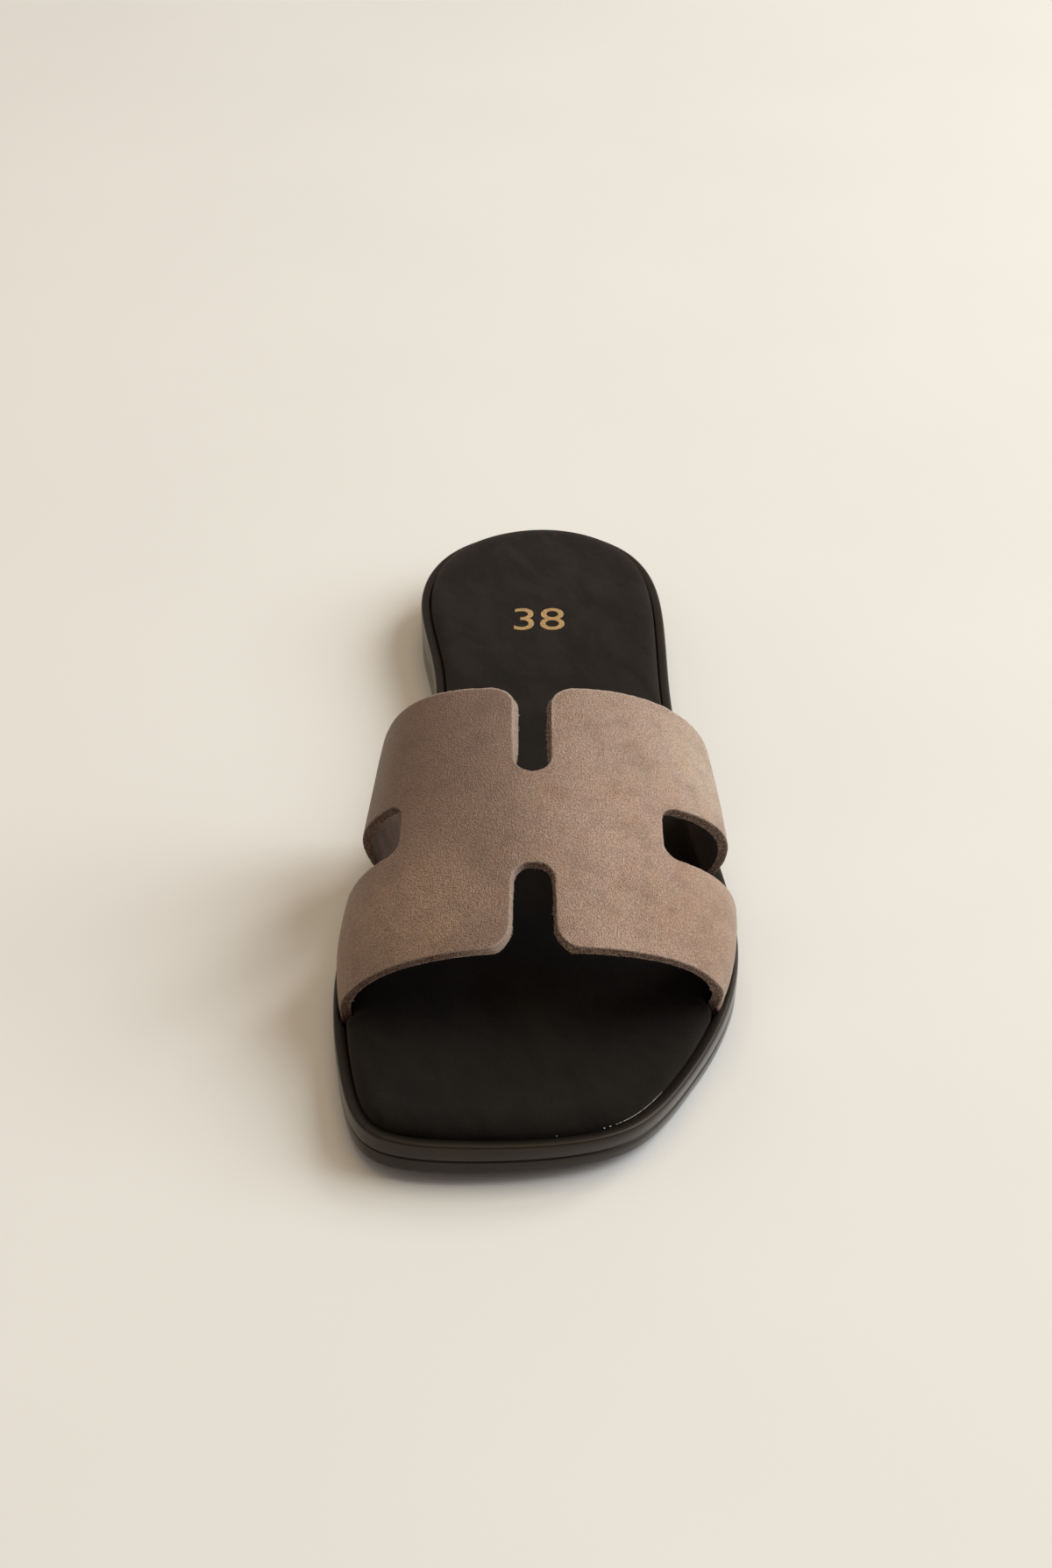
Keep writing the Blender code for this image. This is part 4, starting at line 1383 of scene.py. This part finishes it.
def grain_finish():
    """Waxed taupe leather with a fine grain, clouded dye, and painted light and shade."""
    material, tree, shader = new_finish("leather_taupe_grain")
    hide = add_node(tree, "ShaderNodeUVMap", {"uv_map": "hide"}).outputs["UV"]
    place = add_node(tree, "ShaderNodeSeparateXYZ", Vector=hide).outputs
    from_cut = add_node(tree, "ShaderNodeAttribute", {"attribute_name": "from_cut"}).outputs["Fac"]
    drawn = drawn_out(tree, hide, turn=-62.0, times=1.9)
    pebbles = add_node(tree, "ShaderNodeTexVoronoi", {"feature": "SMOOTH_F1"}, Vector=drawn,
                       Scale=1 / (PEBBLE_SIZE * MM), Smoothness=0.4, Randomness=1.0).outputs["Distance"]
    fine = cloud(tree, drawn, size=0.19, detail=1.0, rough=0.5, sway=0.5)
    dust = cloud(tree, hide, size=0.16, detail=2.0)
    slow = cloud(tree, hide, size=30.0, detail=3.0, rough=0.55, sway=0.3)

    # Where the medial side's painted shade gives way to the lateral side's painted light
    painted_light_line = sums(tree, (place["X"], 1 / MM), (slow, PAINTED_LIGHT_WANDER), (1.0, -PAINTED_LIGHT_WANDER / 2))
    fade = fit(tree, painted_light_line, PAINTED_LIGHT_START, PAINTED_LIGHT_END)
    dye = dye_with_painted_light(tree, hide, slow, fade)
    crease = sums(tree, (fit(tree, pebbles, 0.28, 0.64), 0.35), (fit(tree, fine, 0.53, 0.39), 0.65))
    # The creases' painted shade is stronger on the medial side.
    crease_shade_strength = sums(tree, (fade, -0.20), (1.0, 0.95))
    dye = blend_colours(tree, sums(tree, (crease, crease_shade_strength)), dye, colour(*CREASE_SHADE))
    dye = blend_colours(tree, fit(tree, dust, 0.55, 0.72, 0.0, 0.35), dye, colour(*DUST))
    # The rear arris's rubbing and its painted highlight
    at_rear = fit(tree, place["Y"], RUB_AND_LIGHT_START * MM, RUB_AND_LIGHT_FULL * MM, 0.05, 0.65)
    rubbed_and_lit = sums(tree, (fit(tree, from_cut, RUB_AND_LIGHT_WIDTH, RUB_AND_LIGHT_BARE), at_rear))
    dye = blend_colours(tree, rubbed_and_lit, dye, colour(*RUBBED_AND_LIT))
    connect(tree, dye, shader.inputs["Base Color"])

    connect(tree, sums(tree, (crease, 0.14), (slow, 0.10), (1.0, 0.44)), shader.inputs["Roughness"])
    shader.inputs["Specular IOR Level"].default_value = 0.75
    shader.inputs["Sheen Weight"].default_value = 0.10
    shader.inputs["Sheen Roughness"].default_value = 0.55
    shader.inputs["Sheen Tint"].default_value = colour(1.0, 0.90, 0.82)
    height = sums(tree, (fit(tree, pebbles, 0.75, 0.15), 0.40), (fine, 0.50), (dust, 0.10))
    raise_surface(tree, shader, height, 0.42)
    return material


# %% [markdown]
# The cut shows the brown fibres of the hide, speckled with paler ends, more of them towards the lateral
# side, so that painted shade leaves the medial side darker. Its outer arris is pale, partly worn and partly
# a painted highlight, its lower one is frayed, and painted light makes the medial walls of both slots pale.
# The flesh side is dull and short-napped, and painted shade makes it darker on the lateral side.

# %% Cut edge
CUT_BROWN = ((0.050, 0.025, 0.017), (0.185, 0.100, 0.068))
# Pale shades of painted light for the slots' medial walls
LIT_SLOT_WALL = ((0.270, 0.195, 0.160), (0.500, 0.385, 0.320))
CUT_PATCH = (0.130, 0.086, 0.064)
FIBRE_TIP = (0.540, 0.430, 0.370)
WORN_AND_LIT_ARRIS = (0.400, 0.310, 0.255)
FRAYED_ARRIS = (0.560, 0.455, 0.385)
# Places across the hide: the near and the far side of the slot walls with painted light, and where tips are
# few and many, fewer pale tips being painted shade on the medial side
WALL_NEAR = (-0.5, -3.0)
WALL_FAR = (-20.0, -8.0)
FEW_TIPS = -34.0
MANY_TIPS = 0.0


def cut_finish():
    """Raw cut of the hide: brown fibres with paler ends, a worn outer arris and a frayed lower one, with
    painted light on the slots' medial walls, a painted highlight on the outer arris and painted shade
    medially.
    """
    material, tree, shader = new_finish("leather_cut_edge")
    place = add_node(tree, "ShaderNodeTexCoord").outputs["Object"]
    depth = add_node(tree, "ShaderNodeAttribute", {"attribute_name": "below"}).outputs["Fac"]
    hide = add_node(tree, "ShaderNodeUVMap", {"uv_map": "hide"}).outputs["UV"]
    across = add_node(tree, "ShaderNodeSeparateXYZ", Vector=hide).outputs["X"]
    fibres = fit(tree, cloud(tree, place, size=0.32, detail=3.0, rough=0.7), 0.35, 0.65)
    ends = cloud(tree, place, size=0.26, detail=1.0, rough=0.6)
    slow = cloud(tree, place, size=5.0, detail=2.0)
    near, far = (fit(tree, across, start * MM, stop * MM) for start, stop in (WALL_NEAR, WALL_FAR))
    # The slots' medial walls are painted pale: painted light.
    lit_slot_walls = sums(tree, (sums(tree, (near, far)), 0.80))
    # Pale tips thin out towards the medial side as painted shade.
    tips = sums(tree, (fit(tree, ends, 0.55, 0.62, 0.0, 0.95),
                       fit(tree, across, FEW_TIPS * MM, MANY_TIPS * MM, 0.55, 1.0)))
    frayed = sums(tree, (fit(tree, depth, 0.84, 0.96), fit(tree, ends, 0.44, 0.56)))
    cut = between(tree, fibres, CUT_BROWN)
    cut = blend_colours(tree, fit(tree, slow, 0.35, 0.7, 0.0, 0.4), cut, colour(*CUT_PATCH))
    cut = blend_colours(tree, lit_slot_walls, cut, between(tree, fibres, LIT_SLOT_WALL))
    cut = blend_colours(tree, tips, cut, colour(*FIBRE_TIP))
    # Pale outer arris: partly wear, partly a painted highlight.
    cut = blend_colours(tree, fit(tree, depth, 0.16, 0.03, 0.0, 0.55), cut, colour(*WORN_AND_LIT_ARRIS))
    cut = blend_colours(tree, frayed, cut, colour(*FRAYED_ARRIS))
    connect(tree, cut, shader.inputs["Base Color"])
    shader.inputs["Roughness"].default_value = 0.9
    shader.inputs["Specular IOR Level"].default_value = 0.2
    raise_surface(tree, shader, sums(tree, (fibres, 0.6), (ends, 0.4)), 0.16)
    return material


# %% Flesh side
FLESH_NAP = ((0.047, 0.028, 0.020), (0.168, 0.107, 0.078))
# Painted shade for the lateral side of the flesh
FLESH_SHADE = (0.016, 0.011, 0.008)
# Places across the hide where painted shade on the flesh side starts and where it is darkest
SHADE_START = 10.0
SHADE_FULL = 36.0


def flesh_finish():
    """Flesh side of the hide: dull, dark and short-napped, with painted shade on its lateral side."""
    material, tree, shader = new_finish("leather_flesh_side")
    hide = add_node(tree, "ShaderNodeUVMap", {"uv_map": "hide"}).outputs["UV"]
    across = add_node(tree, "ShaderNodeSeparateXYZ", Vector=hide).outputs["X"]
    nap = cloud(tree, hide, size=0.40, detail=4.0, rough=0.7)
    slow = cloud(tree, hide, size=3.0, detail=3.0)
    tone = sums(tree, (fit(tree, nap, 0.35, 0.65), 0.75), (fit(tree, slow, 0.35, 0.65), 0.25))
    # Painted shade on the lateral side
    lateral_painted_shade = fit(tree, across, SHADE_START * MM, SHADE_FULL * MM, 0.0, 0.75)
    flesh = blend_colours(tree, lateral_painted_shade, between(tree, tone, FLESH_NAP), colour(*FLESH_SHADE))
    connect(tree, flesh, shader.inputs["Base Color"])
    shader.inputs["Roughness"].default_value = 0.95
    shader.inputs["Specular IOR Level"].default_value = 0.15
    shader.inputs["Sheen Weight"].default_value = 0.08
    raise_surface(tree, shader, nap, 0.12)
    return material


strap.data.materials[GRAIN_SLOT] = grain_finish()
strap.data.materials[CUT_SLOT] = cut_finish()
strap.data.materials[FLESH_SLOT] = flesh_finish()
print("strap finishes:", [material.name for material in strap.data.materials])

# %% [markdown]
# ## Small finishes
# The frayed fibres are as pale as undyed hide, dried cement is an off-white with a soft gloss, and the foil
# is a thin matt gold that has rubbed a little where the nap pushes through.

# %% Fibre, cement and foil finishes
# Each piece's finish: piece, name, size of its speckle, darker and lighter shade, roughness, metal
SMALL_FINISHES = (
    (fuzz, "leather_fibre_ends", 0.8, ((0.20, 0.145, 0.112), (0.46, 0.37, 0.30)), 0.9, 0.0),
    (cement, "cement_dried", 0.3, ((0.36, 0.34, 0.31), (0.62, 0.60, 0.56)), 0.45, 0.0),
    (number, "foil_matt_gold", 0.5, ((0.44, 0.28, 0.12), (0.66, 0.45, 0.22)), 0.5, 0.5),
)


def speckled_finish(name, size, shades, roughness, metal):
    """A finish of two shades mixed by one fine noise."""
    material, tree, shader = new_finish(name)
    place = add_node(tree, "ShaderNodeTexCoord").outputs["Object"]
    speckle = cloud(tree, place, size, detail=3.0, rough=0.6)
    connect(tree, between(tree, fit(tree, speckle, 0.35, 0.65), shades), shader.inputs["Base Color"])
    shader.inputs["Roughness"].default_value = roughness
    shader.inputs["Metallic"].default_value = metal
    raise_surface(tree, shader, speckle, 0.02)
    return material


for piece, *finish in SMALL_FINISHES:
    piece.data.materials.append(speckled_finish(*finish))
print("small finishes:", [row[1] for row in SMALL_FINISHES])

# %% [markdown]
# ## Put the pieces on the body
# Each piece rides on an empty for the body, and the solid it was modelled over is hidden.

# %% Attach the pieces and hide their solids
for piece, node_name, slot_name in ((sole, "outsole", "rubber"), (insole, "insole", "suede"),
                                    (strap, "upper", "leather")):
    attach(piece, "root")
    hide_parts(node_name)
for piece in (fuzz, cement, number):
    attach(piece, "root")

# %% [markdown]
# ## Floor, light and camera
# The photo was taken on pale paper with one large soft light from the right. A narrow light behind it skims
# the right shoulder, and a warm room fills the shade on the left. The camera stands in front of the toe and
# looks down at about 35 degrees with a normal lens.

# %% Floor
FLOOR_SIZE = 12.0
PAPER = ((0.782, 0.784, 0.776), (0.796, 0.798, 0.790))

bpy.ops.object.select_all(action="DESELECT")
bpy.ops.mesh.primitive_plane_add(size=FLOOR_SIZE)
floor = bpy.context.object
floor.name = "paper_floor"
material, tree, shader = new_finish("cream_paper")
place = add_node(tree, "ShaderNodeTexCoord").outputs["Object"]
paper_tone = fit(tree, cloud(tree, place, size=120.0, detail=3.0), 0.3, 0.7)
connect(tree, between(tree, paper_tone, PAPER), shader.inputs["Base Color"])
shader.inputs["Roughness"].default_value = 0.85
shader.inputs["Specular IOR Level"].default_value = 0.2
floor.data.materials.append(material)
print("floor:", FLOOR_SIZE, "m of", material.name)

# %% Light
# Area lights, each aimed at the shoe: name, place, width, height, power, colour
LIGHTS = (
    ("key_softbox", (1.84, 0.0, 1.54), 1.6, 2.1, 46.0, (0.885, 0.955, 0.975)),
    ("back_strip", (1.21, 1.01, 1.23), 0.5, 0.9, 9.0, (1.0, 0.97, 0.93)),
    ("ceiling_bounce", (0.0, 0.1, 2.4), 1.4, 1.4, 11.0, (1.0, 0.76, 0.35)),
)
ROOM_COLOUR = (1.0, 0.84, 0.74)
ROOM_STRENGTH = 0.36


def aim(item, target):
    """Turn a light or a camera to look at a point."""
    item.rotation_euler = (Vector(target) - item.location).to_track_quat("-Z", "Y").to_euler()


for light_name, light_place, width, height, power, light_colour in LIGHTS:
    bpy.ops.object.light_add(type="AREA", location=light_place)
    light = bpy.context.object
    light.name = light_name
    light.data.shape = "RECTANGLE"
    light.data.size = width
    light.data.size_y = height
    light.data.energy = power
    light.data.color = light_colour
    aim(light, (0, 0, 0))
world = bpy.data.worlds.new("studio")
world.use_nodes = True
background = world.node_tree.nodes["Background"]
background.inputs["Color"].default_value = colour(*ROOM_COLOUR)
background.inputs["Strength"].default_value = ROOM_STRENGTH
bpy.context.scene.world = world
bpy.context.scene.view_settings.view_transform = "Standard"
print("lights:", [light_row[0] for light_row in LIGHTS])

# %% Camera
CAMERA_PLACE = Vector((-2.8, -492.9, 358.0)) * MM
CAMERA_TARGET = Vector((-2.8, 20.5, 0.0)) * MM
CAMERA_LENS = 56.1
bpy.ops.object.camera_add(location=CAMERA_PLACE)
camera = bpy.context.object
camera.name = "photo_camera"
camera.data.lens = CAMERA_LENS
aim(camera, CAMERA_TARGET)
bpy.context.scene.camera = camera
print("camera:", CAMERA_LENS, "mm lens,", round(90 - math.degrees(camera.rotation_euler.x)), "degrees down")
